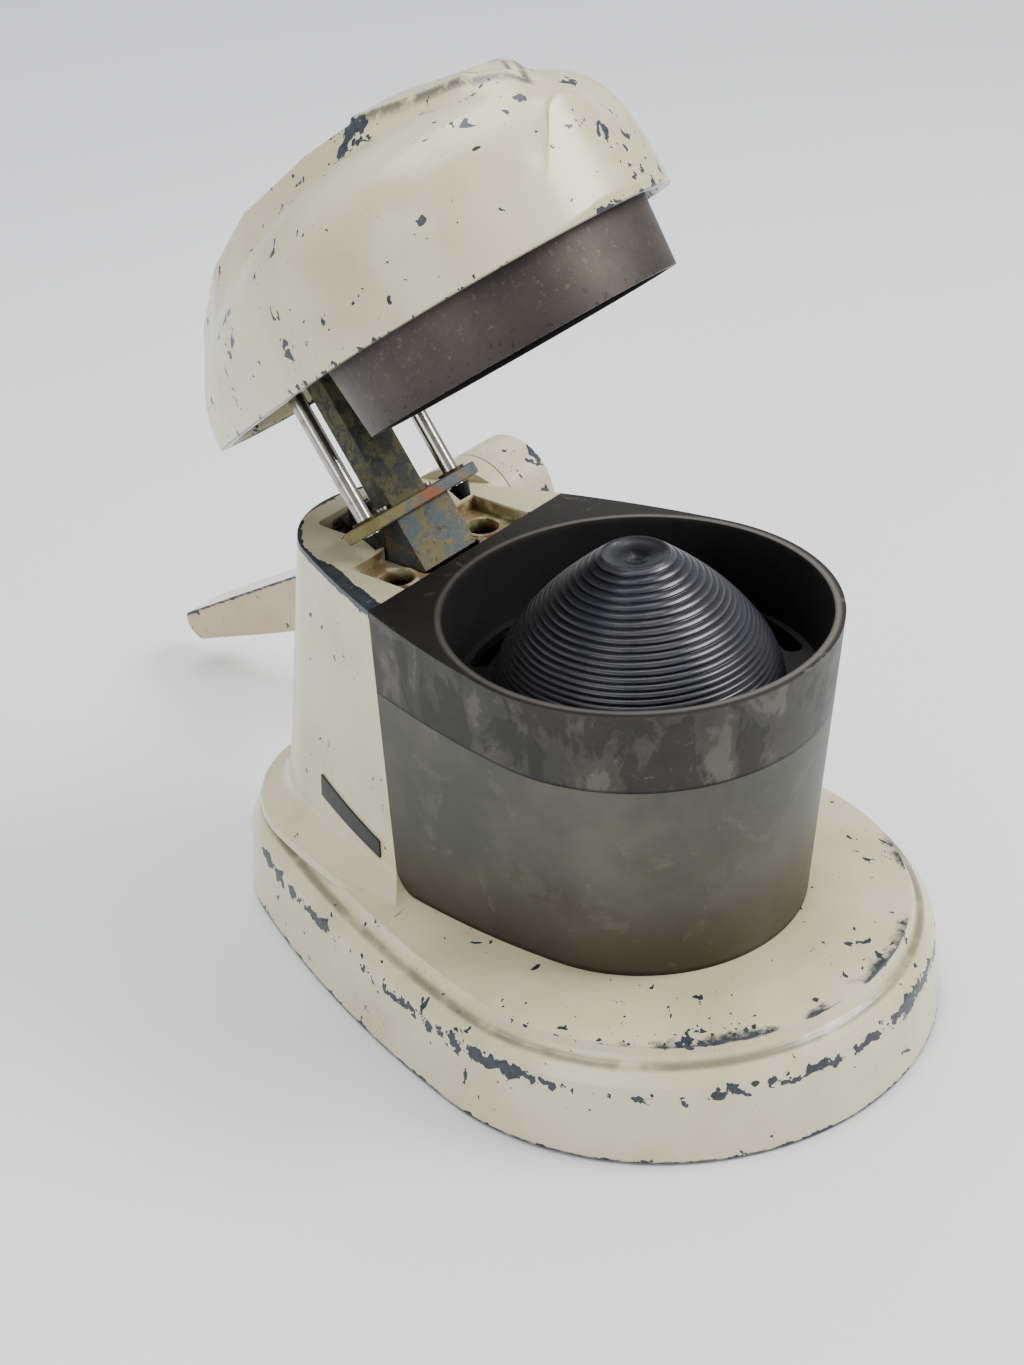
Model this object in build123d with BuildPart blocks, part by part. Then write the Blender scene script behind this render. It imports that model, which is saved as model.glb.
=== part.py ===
from build123d import *
from math import atan2, ceil, cos, pi, radians, sin, sqrt, tan
import os

# Hand-lever citrus press. +Z up, +X to the machine's right, -Y to its front, millimetres.
# The origin is on the reamer's axis, on the surface that the feet rest on.

# ---- driving dimensions -------------------------------------------------------------------
BOWL_R = 65.0                 # inner radius of the bowl at its rim
CAST_WALL = 3.6               # wall of the aluminium castings
RIM_Z = 152.0                 # top of the tray and of the column
SEAM_Z = 121.5                # joint between the tray and the pot under it
DECK_Z = 43.5                 # top of the base round the pot
FOOT_LIFT = 1.0               # the casting's lower edge above the table
FIT_GAP = 0.3                 # open gap between parts that only lie beside each other
RUN_FIT = 0.05                # radial clearance of a running fit
SEAT_FIT = 0.02               # radial clearance of a fixed fit

# plan of column and tray: a front circle about the reamer, a rear circle, wide side arcs
TOP_PLAN = (BOWL_R + CAST_WALL, 0.0, 36.0, 104.8, 400.0)
FOOT_PLAN = (57.4, 0.0, 44.0, 111.0, 300.0)
BASE_PLAN = (96.5, -6.7, 56.0, 117.0, 520.0)
HEAD_PLAN = (67.6, 0.0, 36.0, 106.2, 400.0)

# front face of the column, which leans back as it rises
COLUMN_FRONT_TOP = 73.0
COLUMN_FRONT_FOOT = 66.5

FRONT_COVE = 0.8              # the column's foot flares this much less on its front face

# lever shaft, which is also the tilt axis of the head
SHAFT_Y = 111.5
SHAFT_Z = 137.5
SHAFT_R = 6.0
TILT = 35.7                   # how far the raised head leans back, degrees
LIFT = 46.7                   # how far the raised head stands above its closed place
RIM_GAP = 0.5                 # gap under the closed head

# rack and pinion
MODULE = 2.0
PINION_TEETH = 20
PITCH_R = MODULE * PINION_TEETH / 2
BACKLASH = 0.2
PINION_WIDTH = 10.0

# ram, rods and guide, placed as they are when the head is closed
BAR_HALF = 9.0
BAR_FRONT = 85.0
ROD_X = 22.7
ROD_Y = 84.7
ROD_R = 3.0
PLATE_HALF_Y = 8.5
PLATE_UNDER = 148.0
PLATE_THICK = 4.5
BLOCK_HALF = 13.5
BLOCK_FRONT = 81.0
BLOCK_UNDER = 127.5

# reamer
CONE_BASE_Z = 124.0
CONE_TOP_Z = 172.8
CONE_BASE_R = 49.5
CONE_TOP_R = 11.6
CONE_RINGS = 24

os.makedirs("parts", exist_ok=True)


def save(part, name):
    """Label a finished piece and write it to its own STEP file."""
    part.label = name
    export_step(part, f"parts/{name}.step")


def plan_outline(front_r, front_y, rear_r, rear_y, side_r, grow=0.0):
    """Face bounded by four tangent arcs: front circle, rear circle and two wide side arcs."""
    front, rear, side = front_r + grow, rear_r + grow, side_r + grow
    to_front, to_rear = side - front, side - rear
    side_y = (front_y + rear_y) / 2 + (to_front**2 - to_rear**2) / (2 * (rear_y - front_y))
    side_x = sqrt(to_front**2 - (side_y - front_y) ** 2)
    ax = front * side_x / to_front
    ay = front_y + front * (front_y - side_y) / to_front
    bx = rear * side_x / to_rear
    by = rear_y + rear * (rear_y - side_y) / to_rear
    mid = (atan2(ay - side_y, ax + side_x) + atan2(by - side_y, bx + side_x)) / 2
    mx, my = side * cos(mid) - side_x, side_y + side * sin(mid)
    with BuildLine() as outline:
        ThreePointArc((-ax, ay), (0, front_y - front), (ax, ay))
        ThreePointArc((ax, ay), (mx, my), (bx, by))
        ThreePointArc((bx, by), (0, rear_y + rear), (-bx, by))
        ThreePointArc((-bx, by), (-mx, my), (-ax, ay))
    make_face(outline.edges())


def body_plan(z):
    """Plan of the tapered body at a height."""
    t = (z - DECK_Z) / (RIM_Z - DECK_Z)
    return [a + (b - a) * t for a, b in zip(FOOT_PLAN, TOP_PLAN)]


def body_loft(grow=0.0, low=DECK_Z, high=RIM_Z, mode=Mode.ADD):
    """Tapered body of pot, tray and column between two heights, grown by an offset."""
    with BuildSketch(Plane.XY.offset(low)) as lower:
        plan_outline(*body_plan(low), grow=grow)
    with BuildSketch(Plane.XY.offset(high)) as upper:
        plan_outline(*body_plan(high), grow=grow)
    loft([lower.sketch.face(), upper.sketch.face()], ruled=True, mode=mode)


def front_at(z):
    """Y of the column's leaning front face at a height."""
    return COLUMN_FRONT_FOOT + (COLUMN_FRONT_TOP - COLUMN_FRONT_FOOT) * (z - DECK_Z) / (RIM_Z - DECK_Z)


def front_side(shift, low, high, mode):
    """Keep or remove what lies in front of the column's leaning face, moved by shift."""
    with BuildSketch(Plane.YZ) as region:
        Polygon((-200, low), (front_at(low) + shift, low), (front_at(high) + shift, high),
                (-200, high), align=None)
    extrude(region.sketch, amount=150, both=True, mode=mode)


def column_section(z, grow):
    """Section of the column at a height, grown all round by an offset."""
    with BuildSketch(Plane.XY.offset(z)) as section:
        plan_outline(*body_plan(z), grow=grow)
        with Locations((0, front_at(z) - FRONT_COVE * grow - 150)):
            Rectangle(300, 300, mode=Mode.SUBTRACT)
    return section.sketch.face()


def x_cylinder(radius, x0, x1, y, z, mode=Mode.ADD):
    """Cylinder along X between two places."""
    with BuildSketch(Plane.YZ.offset(x0)) as disc:
        with Locations((y, z)):
            Circle(radius)
    extrude(disc.sketch, amount=x1 - x0, mode=mode)


def tilted(y, z, lift=0.0):
    """Plane at a place given for the closed head, carried to the raised and tilted pose."""
    a = radians(TILT)
    dy, dz = y - SHAFT_Y, z + lift - SHAFT_Z
    origin = (0, SHAFT_Y + dy * cos(a) + dz * sin(a), SHAFT_Z - dy * sin(a) + dz * cos(a))
    return Plane(origin=origin, x_dir=(1, 0, 0), z_dir=(0, sin(a), cos(a)))


def guide_plane(z):
    """Plane of the guide at an upright height z; its local axes are x and the upright y."""
    return tilted(0, z)


def head_plane(z):
    """Plane of the head at a closed height z, with the head raised and tilted."""
    return tilted(0, z, LIFT)


def side_plane(x, lift):
    """Side view plane (y, z) of the tilted group at x, for profiles given as closed."""
    a = radians(TILT)
    base = tilted(0, 0, lift).origin
    return Plane(origin=(x, base.Y, base.Z), x_dir=(0, cos(a), -sin(a)), z_dir=(1, 0, 0))


def cross_plane(y):
    """Cross-section plane (x, height) of the tilted head at a closed place y."""
    a = radians(TILT)
    return Plane(origin=tilted(y, 0, LIFT).origin, x_dir=(1, 0, 0), z_dir=(0, -cos(a), sin(a)))


def side_prism(points, x0, x1, lift, mode=Mode.ADD):
    """Prism across X of a closed side outline (y, z), carried to the tilted pose."""
    with BuildSketch(side_plane(x0, lift)) as outline:
        Polygon(*points, align=None)
    extrude(outline.sketch, amount=x1 - x0, mode=mode)


def head_posts(places, radius, low, high, lift=LIFT, mode=Mode.ADD):
    """Cylinders along the ram's direction, at closed places (x, y), between closed heights."""
    with BuildSketch(tilted(0, low, lift)) as discs:
        with Locations(*places):
            Circle(radius)
    extrude(discs.sketch, amount=high - low, mode=mode)


# ---- base and column ----------------------------------------------------------------------
LOWER_EDGE_Z = 28.5           # top of the base's side wall
GROOVE_Z = 35.0               # line where the two tiers of the base meet
SHOULDER_Z = 41.0             # edge of the deck
WALL = 4.5
BASE_WALL = 6.0
FRONT_WALL = 3.5
DECK_UNDER = 143.0            # underside of the column's top
RECESS_Z = 147.0              # floor of the recess that takes the cross plate
RECESS_HALF = 33.5
RECESS_REAR = 98.5
SLOT_HALF = 15.0
SLOT_FRONT = 78.8
SLOT_REAR = 131.0
ROD_HOLE_R = 6.0
ROD_HOLE_Y = 85.6
BOSS_R = 19.0
BOSS_END = 51.0
INNER_BOSS_R = 11.5
BUSH_R = 8.5
BUSH_END = -31.5
FOOT_PLACES = [(60, -50), (-60, -50), (44, 112), (-44, 112)]
POST_R = 6.5
POST_TOP = 36.0
COVER_Z = 3.0
COVER_THICK = 1.6
SCREW_R = 2.0
COVE_R = 11.0                 # hollow fillet between the column and the deck
COVE_STEPS = 5
COVE_SINK = 0.25              # how far the fillet's upper edge runs into the column


def base_profile():
    """Heights and offsets of the base's outline: side wall, sloping band, cove, deck."""
    rise, reach, steps = SHOULDER_Z - GROOVE_Z, 4.5, 4
    cove = []
    for k in range(steps + 1):
        a = pi / 2 * k / steps
        cove.append((GROOVE_Z + rise * (1 - cos(a)), -5.0 - reach * sin(a)))
    return [(FOOT_LIFT, 1.5), (LOWER_EDGE_Z, -0.6), (LOWER_EDGE_Z + 1.8, -1.3)] + cove + [(DECK_Z, -28.0)]


def stack(levels, mode=Mode.ADD):
    """Ruled stack of base outlines at the given (height, offset) levels."""
    for (z0, g0), (z1, g1) in zip(levels, levels[1:]):
        with BuildSketch(Plane.XY.offset(z0)) as lower:
            plan_outline(*BASE_PLAN, grow=g0)
        with BuildSketch(Plane.XY.offset(z1)) as upper:
            plan_outline(*BASE_PLAN, grow=g1)
        loft([lower.sketch.face(), upper.sketch.face()], ruled=True, mode=mode)


with BuildPart() as column_outer:
    body_loft(low=DECK_Z - 6.0)
    front_side(0.0, 0, 200, Mode.SUBTRACT)

with BuildPart() as column_foot:
    turns = [pi / 2 * k / COVE_STEPS for k in range(COVE_STEPS + 1)]
    levels = [(DECK_Z - 4, COVE_R)]
    levels += [(DECK_Z - 1 + COVE_R * (1 - cos(a)), COVE_R * (1 - sin(a)) - COVE_SINK) for a in turns]
    for (z0, g0), (z1, g1) in zip(levels, levels[1:]):
        loft([column_section(z0, g0), column_section(z1, g1)], ruled=True)

with BuildPart() as column_hollow:
    body_loft(grow=-WALL, low=DECK_Z - 12.0, high=DECK_UNDER)
    front_side(FRONT_WALL, 0, 200, Mode.SUBTRACT)

with BuildPart() as inner_bosses:
    x_cylinder(INNER_BOSS_R, -40.0, -SLOT_HALF, SHAFT_Y, SHAFT_Z)
    x_cylinder(INNER_BOSS_R, SLOT_HALF, 40.0, SHAFT_Y, SHAFT_Z)
    body_loft(grow=-1.0, mode=Mode.INTERSECT)

with BuildPart() as base_casting:
    stack(base_profile())
    add(column_outer.part)
    add(column_foot.part)
    x_cylinder(BOSS_R, 20, BOSS_END, SHAFT_Y, SHAFT_Z)
    with BuildSketch(Plane.XY.offset(RIM_Z)):
        plan_outline(*HEAD_PLAN, grow=1.5)
    extrude(amount=10, mode=Mode.SUBTRACT)
    stack([(FOOT_LIFT - 1, 1.5 - BASE_WALL), (LOWER_EDGE_Z - 2, -0.6 - BASE_WALL), (38.0, -30.0)], Mode.SUBTRACT)
    add(column_hollow.part, mode=Mode.SUBTRACT)
    with BuildSketch(Plane.XY.offset(COVER_Z + COVER_THICK)):
        with Locations(*FOOT_PLACES):
            Circle(POST_R)
    extrude(amount=POST_TOP - COVER_Z - COVER_THICK)
    add(inner_bosses.part)
    x_cylinder(BUSH_R, BUSH_END, BOSS_END, SHAFT_Y, SHAFT_Z, Mode.SUBTRACT)
    with BuildSketch(Plane.XY.offset(RECESS_Z)):
        with Locations((0, (60 + RECESS_REAR) / 2)):
            Rectangle(2 * RECESS_HALF, RECESS_REAR - 60)
    extrude(amount=20, mode=Mode.SUBTRACT)
    with BuildSketch(Plane.XY.offset(RECESS_Z)):
        with Locations((ROD_X, ROD_HOLE_Y), (-ROD_X, ROD_HOLE_Y)):
            Circle(ROD_HOLE_R + 1.4)
    extrude(amount=0.6)
    with BuildSketch(Plane.XY.offset(DECK_UNDER - 5)):
        with Locations((0, (SLOT_FRONT + SLOT_REAR) / 2)):
            RectangleRounded(2 * SLOT_HALF, SLOT_REAR - SLOT_FRONT, 3)
        with Locations((ROD_X, ROD_HOLE_Y), (-ROD_X, ROD_HOLE_Y)):
            Circle(ROD_HOLE_R)
    extrude(amount=40, mode=Mode.SUBTRACT)
    x_cylinder(PITCH_R + MODULE + 1.0, -6.5, 6.5, SHAFT_Y, SHAFT_Z, Mode.SUBTRACT)
    with BuildSketch(Plane.XY.offset(COVER_Z + COVER_THICK)):
        with Locations(*FOOT_PLACES):
            Circle(SCREW_R + SEAT_FIT)
    extrude(amount=14, mode=Mode.SUBTRACT)
save(base_casting.part, "base_casting")

with BuildPart() as bottom_cover:
    with BuildSketch(Plane.XY.offset(COVER_Z)):
        plan_outline(*BASE_PLAN, grow=1.0 - BASE_WALL)
        with Locations(*FOOT_PLACES):
            Circle(SCREW_R + 0.1, mode=Mode.SUBTRACT)
    extrude(amount=COVER_THICK)
save(bottom_cover.part, "bottom_cover")

FOOT_R = 9.0
with BuildPart() as rubber_feet:
    with BuildSketch(Plane.XY):
        with Locations((0, 0), *FOOT_PLACES):
            Circle(FOOT_R)
    extrude(amount=COVER_Z)
    chamfer(rubber_feet.edges().group_by(Axis.Z)[0], 0.6)
    with BuildSketch(Plane.XY):
        with Locations(*FOOT_PLACES):
            Circle(4.2)
    extrude(amount=1.6, mode=Mode.SUBTRACT)
    with BuildSketch(Plane.XY):
        with Locations(*FOOT_PLACES):
            Circle(SCREW_R + 0.1)
    extrude(amount=COVER_Z, mode=Mode.SUBTRACT)
save(rubber_feet.part, "rubber_feet")

with BuildPart() as foot_screws:
    with BuildSketch(Plane.XY.offset(0.5)):
        with Locations(*FOOT_PLACES):
            Circle(3.6)
    extrude(amount=1.1)
    with BuildSketch(Plane.XY.offset(0.5)):
        with Locations(*FOOT_PLACES):
            Rectangle(5.0, 0.9)
    extrude(amount=0.5, mode=Mode.SUBTRACT)
    with BuildSketch(Plane.XY.offset(1.6)):
        with Locations(*FOOT_PLACES):
            Circle(SCREW_R)
    extrude(amount=15)
save(foot_screws.part, "foot_screws")

LABEL = [(75.0, 52.5), (110.5, 61.0), (110.5, 69.5), (75.0, 59.5)]
with BuildPart() as label_skin:
    body_loft(grow=0.9, low=DECK_Z, high=90)
    body_loft(grow=0.02, low=DECK_Z - 1, high=91, mode=Mode.SUBTRACT)

with BuildPart() as label_plate:
    with BuildSketch(Plane.YZ.offset(-70)):
        Polygon(*LABEL, align=None)
    extrude(amount=50)
    add(label_skin.part, mode=Mode.INTERSECT)
save(label_plate.part, "label_plate")

# ---- pot, tray and reamer -----------------------------------------------------------------
POT_WALL = 3.2
POT_FLOOR = 4.0
SKIRT = 4.0                   # how far the tray's locating skirt reaches into the pot
TRAY_FLOOR = 3.5
BOWL_FLOOR_R = 62.0

with BuildPart() as pot_hollow:
    body_loft(grow=-POT_WALL, low=DECK_Z + POT_FLOOR, high=SEAM_Z + 5)
    front_side(-FIT_GAP - POT_WALL, 0, 200, Mode.INTERSECT)

with BuildPart() as juice_pot:
    body_loft(low=DECK_Z + 0.02, high=SEAM_Z)
    front_side(-FIT_GAP, 0, 200, Mode.INTERSECT)
    fillet(juice_pot.edges().filter_by(Axis.X).group_by(Axis.Z)[0], FRONT_COVE * COVE_R + 1.0)
    add(pot_hollow.part, mode=Mode.SUBTRACT)
save(juice_pot.part, "juice_pot")

with BuildPart() as tray_under:
    body_loft(grow=-CAST_WALL, low=SEAM_Z - 1, high=RIM_Z - CAST_WALL)
    front_side(-FIT_GAP - CAST_WALL, 0, 200, Mode.INTERSECT)

with BuildPart() as tray_skirt:
    body_loft(grow=-POT_WALL - 0.5, low=SEAM_Z - SKIRT, high=SEAM_Z + 1)
    front_side(-FIT_GAP - POT_WALL - 0.5, 0, 200, Mode.INTERSECT)
    body_loft(grow=-POT_WALL - 2.6, low=SEAM_Z - SKIRT - 1, high=SEAM_Z + 2, mode=Mode.SUBTRACT)

with BuildPart() as strainer_tray:
    body_loft(low=SEAM_Z + 0.05, high=RIM_Z)
    front_side(-FIT_GAP, 0, 200, Mode.INTERSECT)
    add(tray_under.part, mode=Mode.SUBTRACT)
    with BuildSketch(Plane.XZ):
        with BuildLine():
            Polyline((0, CONE_BASE_Z), (0, CONE_BASE_Z - TRAY_FLOOR), (BOWL_FLOOR_R - 0.5, CONE_BASE_Z - TRAY_FLOOR),
                     (BOWL_FLOOR_R - 0.5, SEAM_Z + 0.05), (BOWL_FLOOR_R + 3, SEAM_Z + 0.05), (BOWL_R + 3, RIM_Z),
                     (BOWL_R, RIM_Z), (BOWL_FLOOR_R, CONE_BASE_Z), close=True)
        make_face()
    revolve(axis=Axis.Z)
    add(tray_skirt.part)
    with BuildSketch(Plane.XZ):
        with BuildLine():
            Polyline((0, CONE_BASE_Z), (0, RIM_Z + 1), (BOWL_R + 0.1, RIM_Z + 1), (BOWL_R, RIM_Z),
                     (BOWL_FLOOR_R, CONE_BASE_Z), close=True)
        make_face()
    revolve(axis=Axis.Z, mode=Mode.SUBTRACT)
    with BuildSketch(Plane.XY.offset(CONE_BASE_Z - 10)):
        with PolarLocations(0, 6, start_angle=40):
            SlotArc(CenterArc((0, 0), 56.0, -12, 24), 7.0)
        Circle(3.1)
    extrude(amount=20, mode=Mode.SUBTRACT)
save(strainer_tray.part, "strainer_tray")


def cone_radius(h):
    """Radius of the reamer at a share h of its height: full at the foot, falling ever faster."""
    return CONE_TOP_R + (CONE_BASE_R - CONE_TOP_R) * (1 - h**1.75)


CONE_HEIGHT = CONE_TOP_Z - CONE_BASE_Z
RING_FOOT = 3.0               # plain band under the lowest ring
GROOVE_DEPTH = 0.9
with BuildPart() as reamer_cone:
    outline = [(0, CONE_BASE_Z + 0.02), (CONE_BASE_R, CONE_BASE_Z + 0.02), (CONE_BASE_R, CONE_BASE_Z + RING_FOOT)]
    for ring in range(CONE_RINGS):
        for share, depth in ((0.0, GROOVE_DEPTH), (0.35, 0.0), (1.0, 0.0)):
            z = RING_FOOT + (CONE_HEIGHT - RING_FOOT) * (ring + share) / CONE_RINGS
            outline.append((cone_radius(z / CONE_HEIGHT) - depth, CONE_BASE_Z + z))
    outline += [(CONE_TOP_R - 1.2, CONE_TOP_Z - 0.3), (CONE_TOP_R - 4.0, CONE_TOP_Z - 1.8), (0, CONE_TOP_Z - 2.6)]
    with BuildSketch(Plane.XZ):
        with BuildLine():
            Polyline(*outline, close=True)
        make_face()
    revolve(axis=Axis.Z)
    with BuildSketch(Plane.XY.offset(CONE_BASE_Z)):
        Circle(3.02)
    extrude(amount=60, mode=Mode.SUBTRACT)
save(reamer_cone.part, "reamer_cone")

STUD_TOP = CONE_TOP_Z - 3.6
STUD_FOOT = CONE_BASE_Z - TRAY_FLOOR - 9.0
with BuildPart() as cone_stud:
    with BuildSketch(Plane.XY.offset(STUD_FOOT)):
        Circle(3.0)
    extrude(amount=STUD_TOP - STUD_FOOT)
save(cone_stud.part, "cone_stud")

NUT_TOP = CONE_BASE_Z - TRAY_FLOOR - 0.02
with BuildPart() as cone_nut:
    with BuildSketch(Plane.XY.offset(NUT_TOP - 5)):
        RegularPolygon(6.0, 6)
        Circle(3.02, mode=Mode.SUBTRACT)
    extrude(amount=5)
save(cone_nut.part, "cone_nut")

# ---- shaft, pinion and lever --------------------------------------------------------------
HUB_START = BOSS_END + 0.5
HUB_END = 72.0
HUB_R = 19.0
SHAFT_START = BUSH_END + 0.5
KEY = 4.0
KEY_Z = SHAFT_Z + SHAFT_R - 2.2
PIN_X = 62.0
PIN_R = 2.0


def key_box(grow, mode=Mode.ADD):
    """Key between the shaft and the pinion, grown by a clearance."""
    with BuildSketch(Plane.XY.offset(KEY_Z - grow)) as key:
        with Locations((0, SHAFT_Y)):
            Rectangle(PINION_WIDTH, KEY + 2 * grow)
    extrude(key.sketch, amount=KEY + 2 * grow, mode=mode)


def pin_hole(grow, mode=Mode.ADD):
    """Pin across the hub and the shaft, grown by a clearance."""
    with BuildSketch(Plane.XY.offset(SHAFT_Z - HUB_R + 0.4)) as disc:
        with Locations((PIN_X, SHAFT_Y)):
            Circle(PIN_R + grow)
    extrude(disc.sketch, amount=2 * HUB_R - 0.8, mode=mode)


with BuildPart() as lever_shaft:
    x_cylinder(SHAFT_R, SHAFT_START, HUB_END - 0.1, SHAFT_Y, SHAFT_Z)
    key_box(SEAT_FIT, Mode.SUBTRACT)
    pin_hole(SEAT_FIT, Mode.SUBTRACT)
    x_cylinder(2.52, HUB_END - 7, HUB_END, SHAFT_Y, SHAFT_Z, Mode.SUBTRACT)
save(lever_shaft.part, "lever_shaft")

with BuildPart() as shaft_key:
    key_box(0)
save(shaft_key.part, "shaft_key")

with BuildPart() as hub_pin:
    pin_hole(0)
save(hub_pin.part, "hub_pin")


def tooth_half_angle(radius):
    """Half the angle of an involute tooth at a radius."""
    base = PITCH_R * cos(radians(20))
    spread = sqrt(max(radius**2 - base**2, 0)) / base
    at_pitch = pi / (2 * PINION_TEETH) - BACKLASH / (4 * PITCH_R)
    return at_pitch + tan(radians(20)) - radians(20) - (spread - atan2(spread, 1))


ROOT_R = PITCH_R - 1.25 * MODULE
TIP_R = PITCH_R + MODULE
with BuildPart() as pinion:
    with BuildSketch(side_plane(-PINION_WIDTH / 2, 0)) as wheel:
        with Locations((SHAFT_Y, SHAFT_Z)):
            Circle(ROOT_R)
        base_r = PITCH_R * cos(radians(20))
        radii = [base_r + (TIP_R - base_r) * k / 3 for k in range(4)]
        flank = [(-r * cos(tooth_half_angle(r)), r * sin(tooth_half_angle(r))) for r in radii]
        root = (-(ROOT_R - 0.5) * cos(tooth_half_angle(base_r)), (ROOT_R - 0.5) * sin(tooth_half_angle(base_r)))
        with BuildLine(mode=Mode.PRIVATE) as tooth_line:
            Line((root[0], -root[1]), root)
            Line(root, flank[0])
            Spline(*flank)
            ThreePointArc(flank[-1], (-TIP_R, 0), (flank[-1][0], -flank[-1][1]))
            Spline(*[(y, -z) for y, z in reversed(flank)])
            Line((flank[0][0], -flank[0][1]), (root[0], -root[1]))
        tooth = make_face(tooth_line.edges(), mode=Mode.PRIVATE)
        for k in range(PINION_TEETH):
            add(Pos(SHAFT_Y, SHAFT_Z) * Rot(0, 0, 360 / PINION_TEETH * k) * tooth)
        with Locations((SHAFT_Y, SHAFT_Z)):
            Circle(SHAFT_R + SEAT_FIT, mode=Mode.SUBTRACT)
    extrude(amount=PINION_WIDTH)
    key_box(SEAT_FIT, Mode.SUBTRACT)
save(pinion.part, "pinion")

CHEEK_INNER = BAR_HALF + 0.2
with BuildPart() as pinion_spacers:
    for x in (PINION_WIDTH / 2 + 0.05, -CHEEK_INNER + 0.1):
        x_cylinder(9.0, x, x + CHEEK_INNER - PINION_WIDTH / 2 - 0.15, SHAFT_Y, SHAFT_Z)
    x_cylinder(SHAFT_R + SEAT_FIT, -20, 20, SHAFT_Y, SHAFT_Z, Mode.SUBTRACT)
save(pinion_spacers.part, "pinion_spacers")

with BuildPart() as thrust_washers:
    for x in (BLOCK_HALF + 0.1, -SLOT_HALF + 0.1):
        x_cylinder(9.5, x, x + SLOT_HALF - BLOCK_HALF - 0.2, SHAFT_Y, SHAFT_Z)
    x_cylinder(SHAFT_R + SEAT_FIT, -20, 20, SHAFT_Y, SHAFT_Z, Mode.SUBTRACT)
save(thrust_washers.part, "thrust_washers")

with BuildPart() as shaft_bushes:
    x_cylinder(BUSH_R - SEAT_FIT, BUSH_END + 0.1, -SLOT_HALF, SHAFT_Y, SHAFT_Z)
    x_cylinder(BUSH_R - SEAT_FIT, SLOT_HALF, BOSS_END, SHAFT_Y, SHAFT_Z)
    x_cylinder(SHAFT_R + RUN_FIT, -60, 60, SHAFT_Y, SHAFT_Z, Mode.SUBTRACT)
save(shaft_bushes.part, "shaft_bushes")

# The lever stands back and down when the head is raised; its tip is LEVER_REACH from the shaft.
LEVER_DROP = 32.4
LEVER_REACH = 222.0
ARM_SHIFT = 12.0              # how far the grip stands out from the arm
GRIP_WIDTH = 18.0
ARM_X = 54.0
lever_dir = (0, cos(radians(LEVER_DROP)), -sin(radians(LEVER_DROP)))
lever_plan = Plane(origin=(0, SHAFT_Y, SHAFT_Z), x_dir=(1, 0, 0),
                   z_dir=(0, sin(radians(LEVER_DROP)), cos(radians(LEVER_DROP))))

with BuildPart() as lever:
    with BuildSketch(Plane.YZ.offset(40)) as lever_side:
        with BuildLine():
            Spline((129.4, 144.0), (160, 106), (195, 83), (230, 63.2), (298.3, 24.4), tangents=[(0.34, -0.94), (0.87, -0.5)])
            ThreePointArc((298.3, 24.4), (297.0, 17.4), (290.0, 14.0))
            Spline((290.0, 14.0), (236.2, 35.0), (186, 60), (140, 92), (100.6, 121.9), tangents=[(-0.93, 0.37), (-0.8, 0.6)])
            Line((100.6, 121.9), (111.5, 137.5))
            Line((111.5, 137.5), (129.4, 144.0))
        make_face()
    extrude(amount=60)
    with BuildSketch(lever_plan) as lever_top:
        with BuildLine():
            Polyline((ARM_X, -25), (ARM_X, 34), (ARM_X + ARM_SHIFT, 86), (ARM_X + ARM_SHIFT, LEVER_REACH + 9),
                     (ARM_X + ARM_SHIFT + GRIP_WIDTH, LEVER_REACH + 9), (ARM_X + ARM_SHIFT + GRIP_WIDTH, 86),
                     (ARM_X + GRIP_WIDTH, 34), (ARM_X + GRIP_WIDTH, -25), close=True)
        make_face()
        fillet(lever_top.vertices().group_by(Axis.Y)[-1], 7)
    extrude(lever_top.sketch, amount=120, both=True, mode=Mode.INTERSECT)
    x_cylinder(HUB_R, HUB_START, HUB_END, SHAFT_Y, SHAFT_Z)
    x_cylinder(SHAFT_R + SEAT_FIT, 40, 80, SHAFT_Y, SHAFT_Z, Mode.SUBTRACT)
    pin_hole(SEAT_FIT, Mode.SUBTRACT)
save(lever.part, "lever")

with BuildPart() as hub_washer:
    x_cylinder(11.0, HUB_END + 0.02, HUB_END + 1.5, SHAFT_Y, SHAFT_Z)
    x_cylinder(2.6, HUB_END, HUB_END + 2, SHAFT_Y, SHAFT_Z, Mode.SUBTRACT)
save(hub_washer.part, "hub_washer")

with BuildPart() as hub_screw:
    x_cylinder(6.0, HUB_END + 1.52, HUB_END + 5, SHAFT_Y, SHAFT_Z)
    chamfer(hub_screw.edges().group_by(Axis.X)[-1], 1.0)
    with BuildSketch(Plane.YZ.offset(HUB_END + 3.6)):
        with Locations((SHAFT_Y, SHAFT_Z)):
            Rectangle(14, 1.4)
    extrude(amount=3, mode=Mode.SUBTRACT)
    x_cylinder(2.5, HUB_END - 6.5, HUB_END + 1.52, SHAFT_Y, SHAFT_Z)
save(hub_screw.part, "hub_screw")

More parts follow.
